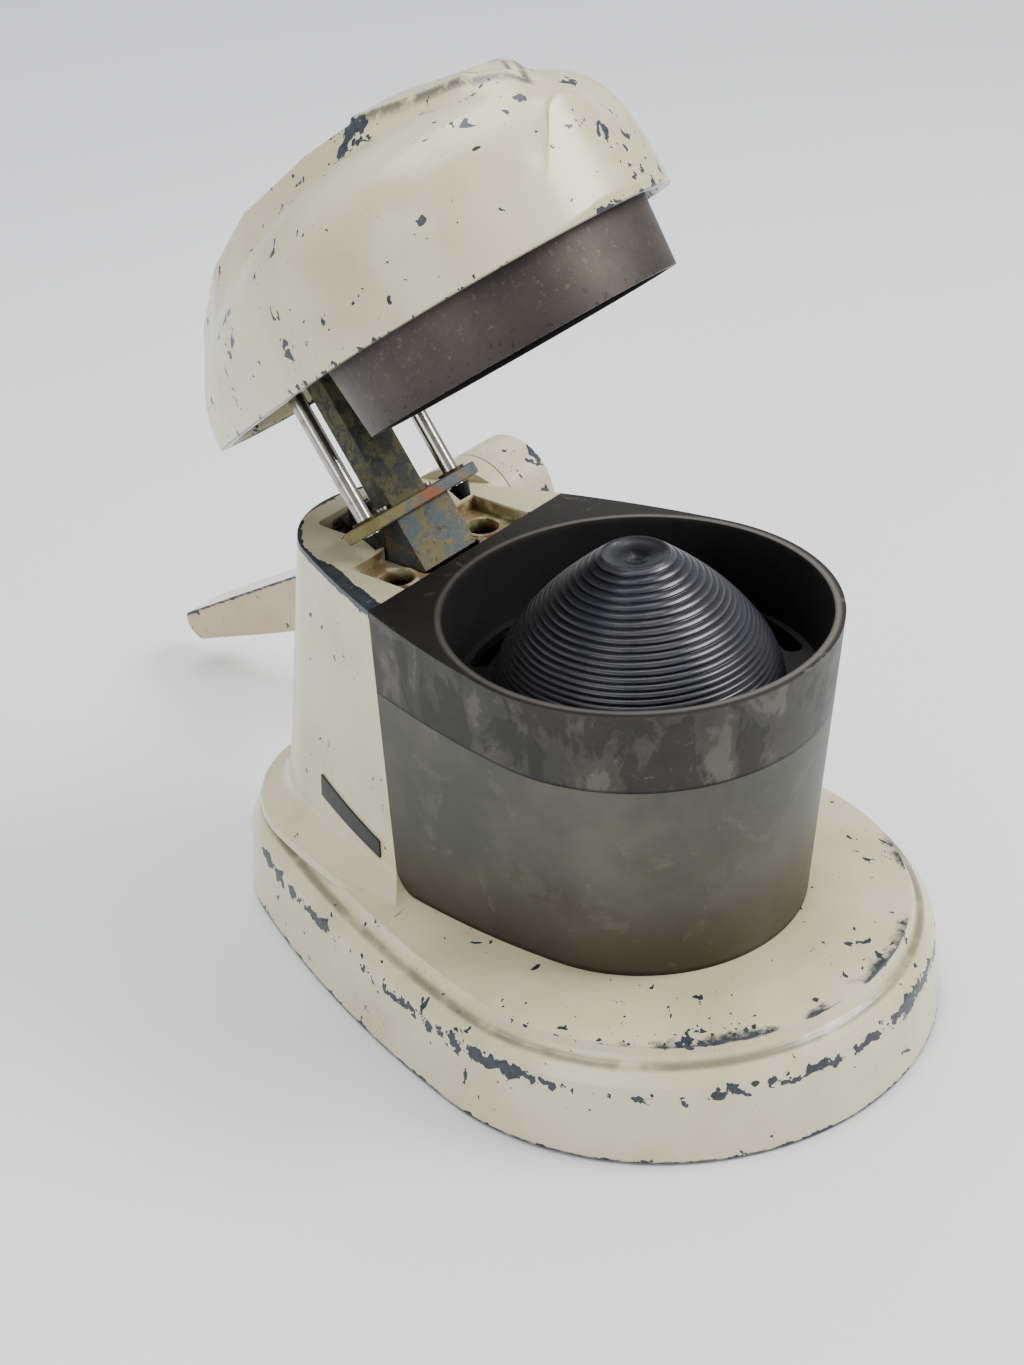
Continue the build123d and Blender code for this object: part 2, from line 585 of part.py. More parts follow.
# ---- guide: block, cross plate, bushes ----------------------------------------------------
BLOCK_TOP = PLATE_UNDER
PLATE_Y = BLOCK_FRONT + 4.0
BUSH_OUT = 5.0
with BuildPart() as guide_block:
    side_prism([(BLOCK_FRONT, BLOCK_UNDER), (BLOCK_FRONT, BLOCK_TOP), (SHAFT_Y - 8, BLOCK_TOP), (SHAFT_Y, SHAFT_Z + 9.5),
                (SHAFT_Y, SHAFT_Z - 9.5)], -BLOCK_HALF, BLOCK_HALF, 0)
    x_cylinder(9.5, -BLOCK_HALF, BLOCK_HALF, SHAFT_Y, SHAFT_Z)
    side_prism([(BAR_FRONT - 0.2, 100), (BAR_FRONT - 0.2, 180), (150, 180), (150, 100)], -CHEEK_INNER, CHEEK_INNER, 0,
               Mode.SUBTRACT)
    x_cylinder(SHAFT_R + RUN_FIT, -20, 20, SHAFT_Y, SHAFT_Z, Mode.SUBTRACT)
    head_posts([(11.4, 87.5), (-11.4, 87.5)], 1.52, BLOCK_TOP - 9, BLOCK_TOP, 0, Mode.SUBTRACT)
save(guide_block.part, "guide_block")

with BuildPart() as cross_plate:
    with BuildSketch(guide_plane(PLATE_UNDER + 0.02)):
        with Locations((0, PLATE_Y)):
            SlotOverall(2 * (ROD_X + PLATE_HALF_Y + 0.5), 2 * PLATE_HALF_Y)
        with Locations((0, BAR_FRONT - 0.3 + 10)):
            Rectangle(2 * CHEEK_INNER, 20, mode=Mode.SUBTRACT)
        with Locations((ROD_X, ROD_Y), (-ROD_X, ROD_Y)):
            Circle(BUSH_OUT + SEAT_FIT, mode=Mode.SUBTRACT)
        with Locations((11.4, 87.5), (-11.4, 87.5)):
            Circle(1.6, mode=Mode.SUBTRACT)
    extrude(amount=PLATE_THICK - 0.02)
save(cross_plate.part, "cross_plate")

with BuildPart() as rod_bushes:
    head_posts([(ROD_X, ROD_Y), (-ROD_X, ROD_Y)], BUSH_OUT, PLATE_UNDER + 0.02, PLATE_UNDER + PLATE_THICK + 1.0, 0)
    head_posts([(ROD_X, ROD_Y), (-ROD_X, ROD_Y)], ROD_R + RUN_FIT, PLATE_UNDER - 1, PLATE_UNDER + 10, 0, Mode.SUBTRACT)
save(rod_bushes.part, "rod_bushes")

with BuildPart() as plate_screws:
    head_posts([(11.4, 87.5), (-11.4, 87.5)], 1.5, BLOCK_TOP - 8.5, PLATE_UNDER + PLATE_THICK + 0.02, 0)
    head_posts([(11.4, 87.5), (-11.4, 87.5)], 2.1, PLATE_UNDER + PLATE_THICK + 0.02, PLATE_UNDER + PLATE_THICK + 1.6, 0)
save(plate_screws.part, "plate_screws")

# ---- head: ram bar, rods, bridge, cup, shell ----------------------------------------------
HEAD_RIM = RIM_Z + RIM_GAP
BRIDGE_UNDER = HEAD_RIM + 30.0
BRIDGE_THICK = 6.0
BRIDGE_TOP = BRIDGE_UNDER + BRIDGE_THICK
BAR_FOOT = BLOCK_UNDER + 2.5 - LIFT
PITCH_LINE = SHAFT_Y - PITCH_R
GAP_PHASE = SHAFT_Z - LIFT    # closed height of the tooth gap that meets the pinion at rest
RACK_TOP = HEAD_RIM - 3.0
RACK_HALF = PINION_WIDTH / 2 + FIT_GAP    # the teeth lie in a channel between plain cheeks

with BuildPart() as ram_bar:
    side_prism([(BAR_FRONT, BAR_FOOT), (BAR_FRONT, BRIDGE_UNDER - 0.02), (PITCH_LINE + MODULE, BRIDGE_UNDER - 0.02),
                (PITCH_LINE + MODULE, BAR_FOOT)], -BAR_HALF, BAR_HALF, LIFT)
    pitch = pi * MODULE
    first_gap = ceil((BAR_FOOT - GAP_PHASE) / pitch)
    last_gap = int((RACK_TOP - GAP_PHASE) / pitch)
    with BuildSketch(side_plane(-RACK_HALF, LIFT)) as gaps:
        for k in range(first_gap, last_gap + 1):
            z = GAP_PHASE + k * pitch
            wide = pitch / 4 + BACKLASH / 4 + (MODULE + 0.2) * tan(radians(20))
            narrow = pitch / 4 + BACKLASH / 4 - 1.25 * MODULE * tan(radians(20))
            Polygon((PITCH_LINE + MODULE + 0.2, z - wide), (PITCH_LINE - 1.25 * MODULE, z - narrow),
                    (PITCH_LINE - 1.25 * MODULE, z + narrow), (PITCH_LINE + MODULE + 0.2, z + wide), align=None)
    extrude(gaps.sketch, amount=2 * RACK_HALF, mode=Mode.SUBTRACT)
    head_posts([(0, 89.2)], 2.52, BRIDGE_UNDER - 14, BRIDGE_UNDER, LIFT, Mode.SUBTRACT)
save(ram_bar.part, "ram_bar")

ROD_PLACES = [(ROD_X, ROD_Y), (-ROD_X, ROD_Y)]
ROD_FOOT = PLATE_UNDER - 0.4 - LIFT
with BuildPart() as guide_rods:
    head_posts(ROD_PLACES, ROD_R, ROD_FOOT + 0.02, BRIDGE_TOP + 4.6)
    head_posts(ROD_PLACES, 1.52, ROD_FOOT, ROD_FOOT + 6, LIFT, Mode.SUBTRACT)
save(guide_rods.part, "guide_rods")

with BuildPart() as rod_tips:
    for place in ROD_PLACES:
        with BuildSketch(tilted(0, ROD_FOOT, LIFT)) as upper_end:
            with Locations(place):
                Circle(4.0)
        with BuildSketch(tilted(0, ROD_FOOT - 5.2, LIFT)) as lower_end:
            with Locations(place):
                Circle(2.2)
        loft([upper_end.sketch.face(), lower_end.sketch.face()])
    head_posts(ROD_PLACES, 1.5, ROD_FOOT - 1, ROD_FOOT + 5.5)
save(rod_tips.part, "rod_tips")

CUP_PLACE = (0.0, 0.0)
SHELL_POSTS = [(21, 24), (-21, 24), (19, 66), (-19, 66)]
with BuildPart() as head_bridge:
    with BuildSketch(tilted(0, BRIDGE_UNDER, LIFT)):
        with Locations((0, 40)):
            RectangleRounded(62, 116, 14)
        with Locations((0, 40)):
            RectangleRounded(14, 60, 5, mode=Mode.SUBTRACT)
        with Locations(*ROD_PLACES):
            Circle(ROD_R + SEAT_FIT, mode=Mode.SUBTRACT)
        with Locations(CUP_PLACE, (0, 89.2)):
            Circle(2.6, mode=Mode.SUBTRACT)
        with Locations(*SHELL_POSTS):
            Circle(2.1, mode=Mode.SUBTRACT)
    extrude(amount=BRIDGE_THICK)
save(head_bridge.part, "head_bridge")

with BuildPart() as rod_nuts:
    with BuildSketch(tilted(0, BRIDGE_TOP + 0.02, LIFT)):
        with Locations(*ROD_PLACES):
            RegularPolygon(5.6, 6)
        with Locations(*ROD_PLACES):
            Circle(ROD_R + SEAT_FIT, mode=Mode.SUBTRACT)
    extrude(amount=3.6)
save(rod_nuts.part, "rod_nuts")

with BuildPart() as bar_screw:
    head_posts([(0, 89.2)], 2.5, BRIDGE_UNDER - 13, BRIDGE_TOP + 0.02)
    head_posts([(0, 89.2)], 4.5, BRIDGE_TOP + 0.02, BRIDGE_TOP + 3.5)
save(bar_screw.part, "bar_screw")

with BuildPart() as cup_screw:
    head_posts([CUP_PLACE], 2.5, BRIDGE_UNDER - 3, BRIDGE_TOP + 0.02)
    head_posts([CUP_PLACE], 4.5, BRIDGE_TOP + 0.02, BRIDGE_TOP + 3.5)
save(cup_screw.part, "cup_screw")

with BuildPart() as shell_screws:
    head_posts(SHELL_POSTS, 2.0, BRIDGE_UNDER - 0.02, BRIDGE_TOP + 9)
    head_posts(SHELL_POSTS, 3.4, BRIDGE_UNDER - 1.8, BRIDGE_UNDER - 0.02)
save(shell_screws.part, "shell_screws")

CUP_DEPTH = 23.5
CUP_LIP_R = 56.5
CUP_TOP_R = 58.5
CUP_WALL = 3.3
with BuildPart() as press_cup:
    with BuildSketch(cross_plane(0)):
        with BuildLine():
            Line((CUP_LIP_R - CUP_WALL, HEAD_RIM - CUP_DEPTH), (CUP_LIP_R, HEAD_RIM - CUP_DEPTH))
            Line((CUP_LIP_R, HEAD_RIM - CUP_DEPTH), (CUP_TOP_R, HEAD_RIM + 2))
            ThreePointArc((CUP_TOP_R, HEAD_RIM + 2), (40.3, HEAD_RIM + 22.4), (14, BRIDGE_UNDER - 0.02))
            Line((14, BRIDGE_UNDER - 0.02), (0, BRIDGE_UNDER - 0.02))
            Line((0, BRIDGE_UNDER - 0.02), (0, BRIDGE_UNDER - 4.5))
            Line((0, BRIDGE_UNDER - 4.5), (12, BRIDGE_UNDER - 4.5))
            ThreePointArc((12, BRIDGE_UNDER - 4.5), (36.8, HEAD_RIM + 18.9), (CUP_TOP_R - CUP_WALL, HEAD_RIM + 1))
            Line((CUP_TOP_R - CUP_WALL, HEAD_RIM + 1), (CUP_LIP_R - CUP_WALL, HEAD_RIM - CUP_DEPTH))
        make_face()
    revolve(axis=Axis(tilted(0, 0, LIFT).origin, tilted(0, 0, LIFT).z_dir))
    head_posts([CUP_PLACE], 2.52, BRIDGE_UNDER - 3.1, BRIDGE_UNDER + 1, LIFT, Mode.SUBTRACT)
save(press_cup.part, "press_cup")

CROWN = 57.0                  # height of the shell's shoulders over its rim
SHELL_WALL = 4.0
REAR_TAPER = 0.08             # how much the rear narrows per millimetre of height
REAR_DRAFT = 0.1              # slope of the rear wall at the rim
REAR_ROUND = 140.0            # length that sets how the rear wall curves in


def shell_loft(grow, shrink, mode=Mode.ADD):
    """Dome of the head: the plan closes in towards the crown by a superellipse."""
    faces = []
    for h in (0, 13, 25, 35, 43, 49, 53, 55.5):
        e = (1 - (h / CROWN) ** 4) ** (1 / 3)
        front_r, _, rear_r, rear_c, side_r = HEAD_PLAN
        rear = rear_r * (0.35 + 0.65 * e) - REAR_TAPER * h
        rear_end = rear_c + rear_r - 62 * (1 - e) - REAR_DRAFT * h - h**2 / REAR_ROUND
        with BuildSketch(tilted(0, HEAD_RIM + h * shrink, LIFT)) as level:
            plan_outline(front_r * e, 0.0, rear, rear_end - rear, side_r, grow=grow)
        faces.append(level.sketch.face())
    loft(faces, mode=mode)


CREST = [(-60, 5, 34, 42), (-53, 8, 42, 52.5), (-45, 11, 46, 58.5), (-9, 24, 49, 66), (20, 23.5, 51, 67),
         (62, 22.5, 48, 64.6), (93, 19, 40, 56.5), (120, 13.5, 28, 43), (138, 7, 18, 28)]


def crest_loft(rise, stations=CREST, mode=Mode.ADD):
    """Rounded crest along the top: arches whose width and height follow the stations."""
    faces = []
    for y, half, edge, crown in stations:
        half, edge, crown = half + rise * 0.6, HEAD_RIM + edge + rise, HEAD_RIM + crown + rise
        with BuildSketch(cross_plane(y)) as arch:
            with BuildLine() as arch_line:
                ThreePointArc((-half, edge), (0, crown), (half, edge))
                Line((half, edge), (half, HEAD_RIM + 12))
                Line((half, HEAD_RIM + 12), (-half, HEAD_RIM + 12))
                Line((-half, HEAD_RIM + 12), (-half, edge))
            make_face(arch_line.edges())
        faces.append(arch.sketch.face())
    loft(faces, mode=mode)


BADGE = [(0, 19), (-24.5, -8), (-9.5, -50), (0, -59), (9.5, -50), (24.5, -8)]


def badge_prism(inset, mode):
    """Upright prism over the keystone outline, drawn in by an inset."""
    with BuildSketch(tilted(0, HEAD_RIM + 40, LIFT)) as keystone:
        Polygon(*BADGE, align=None)
        if inset:
            offset(amount=-inset, kind=Kind.INTERSECTION, mode=Mode.REPLACE)
    extrude(keystone.sketch, amount=45, mode=mode)


with BuildPart() as crest_outer:
    crest_loft(0)
with BuildPart() as crest_inner:
    crest_loft(-SHELL_WALL - 1, CREST[2:-1])
with BuildPart() as shell_inner:
    shell_loft(-SHELL_WALL, 0.92)
with BuildPart() as badge_pad:
    crest_loft(1.6)
    badge_prism(0, Mode.INTERSECT)
with BuildPart() as badge_field:
    crest_loft(2.2)
    crest_loft(0.8, mode=Mode.SUBTRACT)
    badge_prism(3.2, Mode.INTERSECT)

with BuildPart() as head_shell:
    shell_loft(0, 1)
    add(crest_outer.part)
    add(badge_pad.part)
    add(shell_inner.part, mode=Mode.SUBTRACT)
    add(crest_inner.part, mode=Mode.SUBTRACT)
    add(badge_field.part, mode=Mode.SUBTRACT)
    head_posts(SHELL_POSTS, 5.5, BRIDGE_TOP + 0.02, HEAD_RIM + 52)
    head_posts(SHELL_POSTS, 2.02, BRIDGE_TOP, BRIDGE_TOP + 9.5, LIFT, Mode.SUBTRACT)
save(head_shell.part, "head_shell")
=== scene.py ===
"""Hand-lever citrus press: finishes, worn enamel and formed surfaces on the CAD frame.

Lengths in this script are millimetres in the row frame; meshes are scaled to metres when made.
"""

import logging
import math
from dataclasses import dataclass
from enum import Enum
from typing import Dict, Sequence, Tuple, Union

import bpy
import numpy as np
from mathutils import Matrix, Vector


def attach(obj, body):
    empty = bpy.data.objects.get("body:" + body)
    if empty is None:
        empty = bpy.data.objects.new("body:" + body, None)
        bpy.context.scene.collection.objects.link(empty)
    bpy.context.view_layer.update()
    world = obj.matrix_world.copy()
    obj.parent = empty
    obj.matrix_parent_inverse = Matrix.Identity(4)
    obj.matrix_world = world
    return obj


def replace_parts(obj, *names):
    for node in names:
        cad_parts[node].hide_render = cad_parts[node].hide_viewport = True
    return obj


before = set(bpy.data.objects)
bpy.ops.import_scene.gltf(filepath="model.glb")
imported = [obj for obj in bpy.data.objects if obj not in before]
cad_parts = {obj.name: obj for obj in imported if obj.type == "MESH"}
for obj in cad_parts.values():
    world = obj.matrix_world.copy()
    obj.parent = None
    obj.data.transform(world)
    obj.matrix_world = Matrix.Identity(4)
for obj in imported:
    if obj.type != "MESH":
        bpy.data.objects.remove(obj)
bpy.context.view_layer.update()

LOG = logging.getLogger("press")
Colour = Tuple[float, float, float, float]
MM = 0.001

SHAFT_Y = 111.5
SHAFT_Z = 137.5
TILT = math.radians(35.7)
LIFT = 46.7
HEAD_RIM = 152.5
BASE_TOP = 152.0
RIB_LOW = 127.0
RIB_TOP = 172.8
RIB_COUNT = 24
KEYSTONE = ((0.0, 19.0), (24.5, -8.0), (9.5, -50.0), (0.0, -59.0))


def rgb(red: int, green: int, blue: int) -> Colour:
    """Turn an 8-bit display colour into a linear one.

    Args:
        red, green, blue: channel values from 0 to 255.

    Returns:
        A linear colour with alpha 1.
    """
    linear = [((c / 255 + 0.055) / 1.055) ** 2.4 if c > 10 else c / 255 / 12.92 for c in (red, green, blue)]
    return (linear[0], linear[1], linear[2], 1.0)


class Signal:
    """A number in a shader that takes part in arithmetic."""

    def __init__(self, graph: "Graph", socket: bpy.types.NodeSocket) -> None:
        self.graph = graph
        self.socket = socket

    def __add__(self, other: "Value") -> "Signal":
        return self.graph.math("ADD", self, other)

    __radd__ = __add__

    def __sub__(self, other: "Value") -> "Signal":
        return self.graph.math("SUBTRACT", self, other)

    def __rsub__(self, other: "Value") -> "Signal":
        return self.graph.math("SUBTRACT", other, self)

    def __mul__(self, other: "Value") -> "Signal":
        return self.graph.math("MULTIPLY", self, other)

    __rmul__ = __mul__

    def __truediv__(self, other: "Value") -> "Signal":
        return self.graph.math("DIVIDE", self, other)

    def __rtruediv__(self, other: "Value") -> "Signal":
        return self.graph.math("DIVIDE", other, self)

    def __pow__(self, other: "Value") -> "Signal":
        return self.graph.math("POWER", self, other)

    def __neg__(self) -> "Signal":
        return self.graph.math("MULTIPLY", self, -1.0)

    def __abs__(self) -> "Signal":
        return self.graph.math("ABSOLUTE", self)

    def below(self, other: "Value") -> "Signal":
        """The smaller of this and another value.

        Args:
            other: the value to compare with.

        Returns:
            The smaller one.
        """
        return self.graph.math("MINIMUM", self, other)

    def above(self, other: "Value") -> "Signal":
        """The larger of this and another value.

        Args:
            other: the value to compare with.

        Returns:
            The larger one.
        """
        return self.graph.math("MAXIMUM", self, other)

    def ramp(self, low: float, high: float) -> "Signal":
        """Smooth step from 0 at low to 1 at high; low may be the larger.

        Args:
            low: where the result is 0.
            high: where the result is 1.

        Returns:
            The step, from 0 to 1.
        """
        if low > high:
            return 1.0 - self.ramp(high, low)
        values = {"Value": self, 1: low, 2: high, 3: 0.0, 4: 1.0}
        node = self.graph.node("ShaderNodeMapRange", {"interpolation_type": "SMOOTHSTEP"}, values)
        return Signal(self.graph, node.outputs["Result"])

    def near(self, centre: float, half: float) -> "Signal":
        """1 at a centre value, falling smoothly to 0 on either side.

        Args:
            centre: where the result is 1.
            half: how far from the centre the result reaches 0.

        Returns:
            The bell, from 0 to 1.
        """
        return abs(self - centre).ramp(half, 0.0)


Value = Union[Signal, float]


def keystone_edges(side: Union[Signal, np.ndarray], y: Union[Signal, np.ndarray]) -> Tuple:
    """Signed distance to each straight edge of the keystone's half outline, negative inside.

    Args:
        side: distance from the middle plane.
        y: closed place along the head.

    Returns:
        The distances to the rear edge, the flank and the nose.
    """
    edges = []
    for (side_a, y_a), (side_b, y_b) in zip(KEYSTONE, KEYSTONE[1:]):
        across, along = side_a - side_b, y_a - y_b
        edges.append(((side - side_a) * along - (y - y_a) * across) / math.hypot(across, along))
    return tuple(edges)


class Tint:
    """A colour in a shader."""

    def __init__(self, graph: "Graph", socket: bpy.types.NodeSocket) -> None:
        self.graph = graph
        self.socket = socket

    def toward(self, other: Union["Tint", Colour], factor: Value, mode: str = "MIX") -> "Tint":
        """Blend this colour towards another.

        Args:
            other: the colour at factor 1.
            factor: share of the other colour.
            mode: blend type of the Mix node.

        Returns:
            The blended colour.
        """
        return self.graph.mix(self, other, factor, mode)


class Graph:
    """A material's node tree, built through one node method."""

    def __init__(self, name: str) -> None:
        self.material = bpy.data.materials.new(name)
        self.material.use_nodes = True
        self.tree = self.material.node_tree
        self.tree.nodes.clear()
        where = self.node("ShaderNodeTexCoord")
        self.place = self.node("ShaderNodeVectorMath", {"operation": "SCALE"},
                               {0: where.outputs["Object"], "Scale": 1000.0}).outputs[0]

    def node(self, kind: str, settings: Dict[str, object] = None,
             values: Dict[object, object] = None) -> bpy.types.Node:
        """Add a node.

        Args:
            kind: the node's type name.
            settings: properties to set on the node.
            values: numbers, colours, sockets or wrappers for its inputs, by name or index.

        Returns:
            The new node.
        """
        node = self.tree.nodes.new(kind)
        for key, value in (settings or {}).items():
            setattr(node, key, value)
        for key, value in (values or {}).items():
            self.feed(node.inputs[key], value)
        return node

    def feed(self, socket: bpy.types.NodeSocket, value: object) -> None:
        """Link or set one input.

        Args:
            socket: the input.
            value: a number, colour, socket or wrapper.
        """
        source = value.socket if isinstance(value, (Signal, Tint)) else value
        if isinstance(source, bpy.types.NodeSocket):
            self.tree.links.new(source, socket)
        else:
            socket.default_value = source

    def math(self, operation: str, *values: Value) -> Signal:
        """Apply a Math node.

        Args:
            operation: the node's operation.
            values: its inputs in order.

        Returns:
            The result.
        """
        node = self.node("ShaderNodeMath", {"operation": operation}, dict(enumerate(values)))
        return Signal(self, node.outputs[0])

    def mix(self, first: object, second: object, factor: Value, mode: str = "MIX") -> Tint:
        """Blend two colours with a Mix node.

        Args:
            first: the colour at factor 0.
            second: the colour at factor 1.
            factor: share of the second colour.
            mode: blend type.

        Returns:
            The blended colour.
        """
        settings = {"data_type": "RGBA", "blend_type": mode}
        node = self.node("ShaderNodeMix", settings, {0: factor, 6: first, 7: second})
        return Tint(self, node.outputs[2])

    def axes(self) -> Tuple[Signal, Signal, Signal]:
        """Split the place into numbers.

        Returns:
            x, y and z in millimetres.
        """
        split = self.node("ShaderNodeSeparateXYZ", None, {0: self.place})
        return tuple(Signal(self, split.outputs[i]) for i in range(3))

    def closed(self) -> Tuple[Signal, Signal, Signal]:
        """Turn the place on the tilted head back to where it is when the head is shut.

        Returns:
            x, y and height in millimetres.
        """
        x, y, z = self.axes()
        dy, dz = y - SHAFT_Y, z - SHAFT_Z
        flat = dy * math.cos(TILT) - dz * math.sin(TILT) + SHAFT_Y
        high = dy * math.sin(TILT) + dz * math.cos(TILT) + (SHAFT_Z - LIFT)
        return x, flat, high

    def facing(self) -> Tuple[Signal, Signal, Signal]:
        """Split the surface normal, in the row frame, into numbers.

        Returns:
            Its x, y and z.
        """
        normal = self.node("ShaderNodeTexCoord").outputs["Normal"]
        split = self.node("ShaderNodeSeparateXYZ", None, {0: normal})
        return tuple(Signal(self, split.outputs[i]) for i in range(3))

    def stretched(self, scale: Sequence[float]) -> bpy.types.NodeSocket:
        """Scale the place along each axis, for grain that runs one way.

        Args:
            scale: factor for each axis.

        Returns:
            The scaled coordinates.
        """
        values = {0: self.place, 1: tuple(scale)}
        return self.node("ShaderNodeVectorMath", {"operation": "MULTIPLY"}, values).outputs[0]

    def noise(self, size: float, detail: float = 3.0, rough: float = 0.55, warp: float = 0.0,
              place: bpy.types.NodeSocket = None) -> Signal:
        """Fractal noise about 0.5.

        Args:
            size: feature size in millimetres.
            detail: number of octaves.
            rough: weight of each finer octave.
            warp: distortion.
            place: other coordinates than the plain place.

        Returns:
            The noise value.
        """
        values = {"Vector": place or self.place, "Scale": 1.0 / size, "Detail": detail, "Roughness": rough,
                  "Distortion": warp}
        return Signal(self, self.node("ShaderNodeTexNoise", None, values).outputs["Fac"])

    def bump(self, height: Value, distance: float, strength: float = 1.0) -> bpy.types.NodeSocket:
        """A bumped normal from a height signal.

        Args:
            height: relief, 0 to 1.
            distance: depth in millimetres of a height of 1.
            strength: share of the effect.

        Returns:
            The normal socket.
        """
        values = {"Height": height, "Distance": distance * MM, "Strength": strength}
        return self.node("ShaderNodeBump", None, values).outputs["Normal"]

    def surface(self, colour: object, roughness: Value, metallic: Value = 0.0, normal: object = None,
                coat: Value = 0.0) -> bpy.types.Material:
        """Finish the tree with a Principled surface.

        Args:
            colour: base colour.
            roughness: roughness.
            metallic: metallic share.
            normal: bumped normal, if any.
            coat: weight of the clear coat.

        Returns:
            The material.
        """
        values = {"Base Color": colour, "Roughness": roughness, "Metallic": metallic, "Coat Weight": coat,
                  "Coat Roughness": 0.18}
        if normal is not None:
            values["Normal"] = normal
        shader = self.node("ShaderNodeBsdfPrincipled", None, values)
        out = self.node("ShaderNodeOutputMaterial")
        self.tree.links.new(shader.outputs[0], out.inputs["Surface"])
        return self.material


# ---- finishes -----------------------------------------------------------------------------
class Zone(Enum):
    """Which piece an enamel finish covers, for where it wears."""

    BASE = "base"
    SHELL = "shell"
    LEVER = "lever"


@dataclass(frozen=True)
class Enamel:
    """Cream enamel with blue-grey chips that gather along the edges of one piece."""

    zone: Zone
    cream: Colour = rgb(214, 209, 172)
    shade: Colour = rgb(196, 189, 148)
    bare: Colour = rgb(50, 58, 70)

    def edge_wear(self, graph: Graph) -> Tuple[Signal, Signal]:
        """How likely the paint is to be chipped, and how much it is rubbed through.

        Args:
            graph: the material's tree.

        Returns:
            Chip likelihood and rubbed share, each about 0 to 1.
        """
        if self.zone is Zone.BASE:
            return self.base_wear(graph)
        if self.zone is Zone.SHELL:
            return self.shell_wear(graph)
        return self.lever_wear(graph)

    @staticmethod
    def base_wear(graph: Graph) -> Tuple[Signal, Signal]:
        """Wear of the casting: its step, shoulder, foot, the column's top edge and front corner.

        Args:
            graph: the material's tree.

        Returns:
            Chip likelihood and rubbed share.
        """
        x, y, z = graph.axes()
        front = (-y - abs(x) * 0.2).ramp(-40.0, 60.0)
        lower = z.near(27.0, 5.5)
        shoulder = z.near(40.6, 2.4) * front
        foot = z.ramp(3.4, 0.8)
        back = (y - 104.8).above(0.0)
        half = 36.4 + (104.8 - y).above(0.0) * 0.35 + (z - BASE_TOP) * 0.03
        ragged = graph.noise(9.0, 4.0, 0.65) * 5.0 - 2.5
        inside = half - (x * x + back * back) ** 0.5 + ragged
        crown = (z + ragged * 0.6).ramp(147.5, 151.0) * inside.ramp(2.6, 1.2) * x.ramp(30.0, 24.0)
        arris = y.near(72.4, 1.2) * z.ramp(50.0, 60.0) * 0.5
        patchy = graph.noise(38.0, 2.0).ramp(0.42, 0.56)
        chip = lower * (0.75 + patchy * 0.7) + foot * 1.2 + shoulder * patchy * 0.7 + crown * 0.6 + arris
        return chip, shoulder * (0.3 + patchy * 0.62) + crown + foot * 0.9

    @staticmethod
    def shell_wear(graph: Graph) -> Tuple[Signal, Signal]:
        """Wear of the head's shell: its rim and the keystone's left corner.

        Args:
            graph: the material's tree.

        Returns:
            Chip likelihood and rubbed share.
        """
        x, y, z = graph.closed()
        rim = (z - HEAD_RIM).ramp(3.2, 0.4)
        corner = ((x + 25.0) ** 2.0 + (y + 6.0) ** 2.0) ** 0.5
        return rim * 0.6 + corner.ramp(13.0, 3.0) * 1.3 + 0.2, rim * 0.4

    @staticmethod
    def lever_wear(graph: Graph) -> Tuple[Signal, Signal]:
        """Wear of the lever: its hub's edge, its tip and the arm's top edge.

        Args:
            graph: the material's tree.

        Returns:
            Chip likelihood and rubbed share.
        """
        x, y, z = graph.axes()
        dy, dz = y - SHAFT_Y, z - SHAFT_Z
        hub = ((dy * dy + dz * dz) ** 0.5).near(18.6, 1.8)
        tip = y.ramp(262.0, 298.0)
        drop = abs(z + 0.568 * (y - 230.0) - 63.2) / 1.15
        arris = drop.ramp(2.0, 0.5) * abs(x - 75.0).ramp(7.4, 8.4) * y.ramp(150.0, 175.0)
        return hub * 0.5 + tip * 0.35 + arris * 0.8, hub * 0.4 + arris * 0.85

    def material(self) -> bpy.types.Material:
        """Build the finish.

        Returns:
            The material.
        """
        graph = Graph("enamel_" + self.zone.value)
        chip_zone, rubbed = self.edge_wear(graph)
        broad = graph.noise(34.0, 3.0)
        blotch = graph.noise(6.0, 3.0, 0.55, 0.4)
        speck = graph.noise(2.4, 2.0)
        chips = (blotch + broad * 0.35 + chip_zone * 0.17).ramp(0.875, 0.887)
        specks = (speck + broad * 0.3 + chip_zone * 0.13).ramp(0.915, 0.93)
        streak = graph.noise(3.0, 4.0, 0.7, 0.0, graph.stretched((0.35, 0.35, 2.4)))
        rub = (rubbed * (0.35 + streak)).ramp(0.5, 0.78)
        bare = chips.above(specks).above(rub).below(1.0)
        halo = (blotch + broad * 0.35 + chip_zone * 0.17).ramp(0.855, 0.875)
        colour = graph.mix(self.cream, self.shade, broad.ramp(0.35, 0.75) * 0.8)
        grime = graph.noise(90.0, 5.0, 0.65).ramp(0.5, 0.72)
        colour = colour.toward(rgb(184, 174, 136), grime * 0.35)
        colour = colour.toward(rgb(226, 223, 200), halo * 0.5)
        scratch = graph.noise(2.2, 3.0, 0.6, 0.3, graph.stretched((0.25, 1.6, 0.7))).ramp(0.7, 0.74)
        colour = colour.toward(rgb(150, 150, 140), scratch * broad.ramp(0.48, 0.62) * 0.6)
        colour = self.marks(graph, colour)
        colour = colour.toward(self.bare, bare)
        colour = colour.toward(rgb(30, 32, 36), bare * speck.ramp(0.5, 0.6) * 0.7)
        rough = graph.noise(12.0, 3.0) * 0.16 + 0.22 + bare * 0.35
        relief = graph.noise(1.4, 2.0) * 0.12 + graph.noise(14.0, 2.0) * 0.5 - bare * 0.9
        return graph.surface(colour, rough, bare * 0.35, graph.bump(relief, 0.16), 0.5)

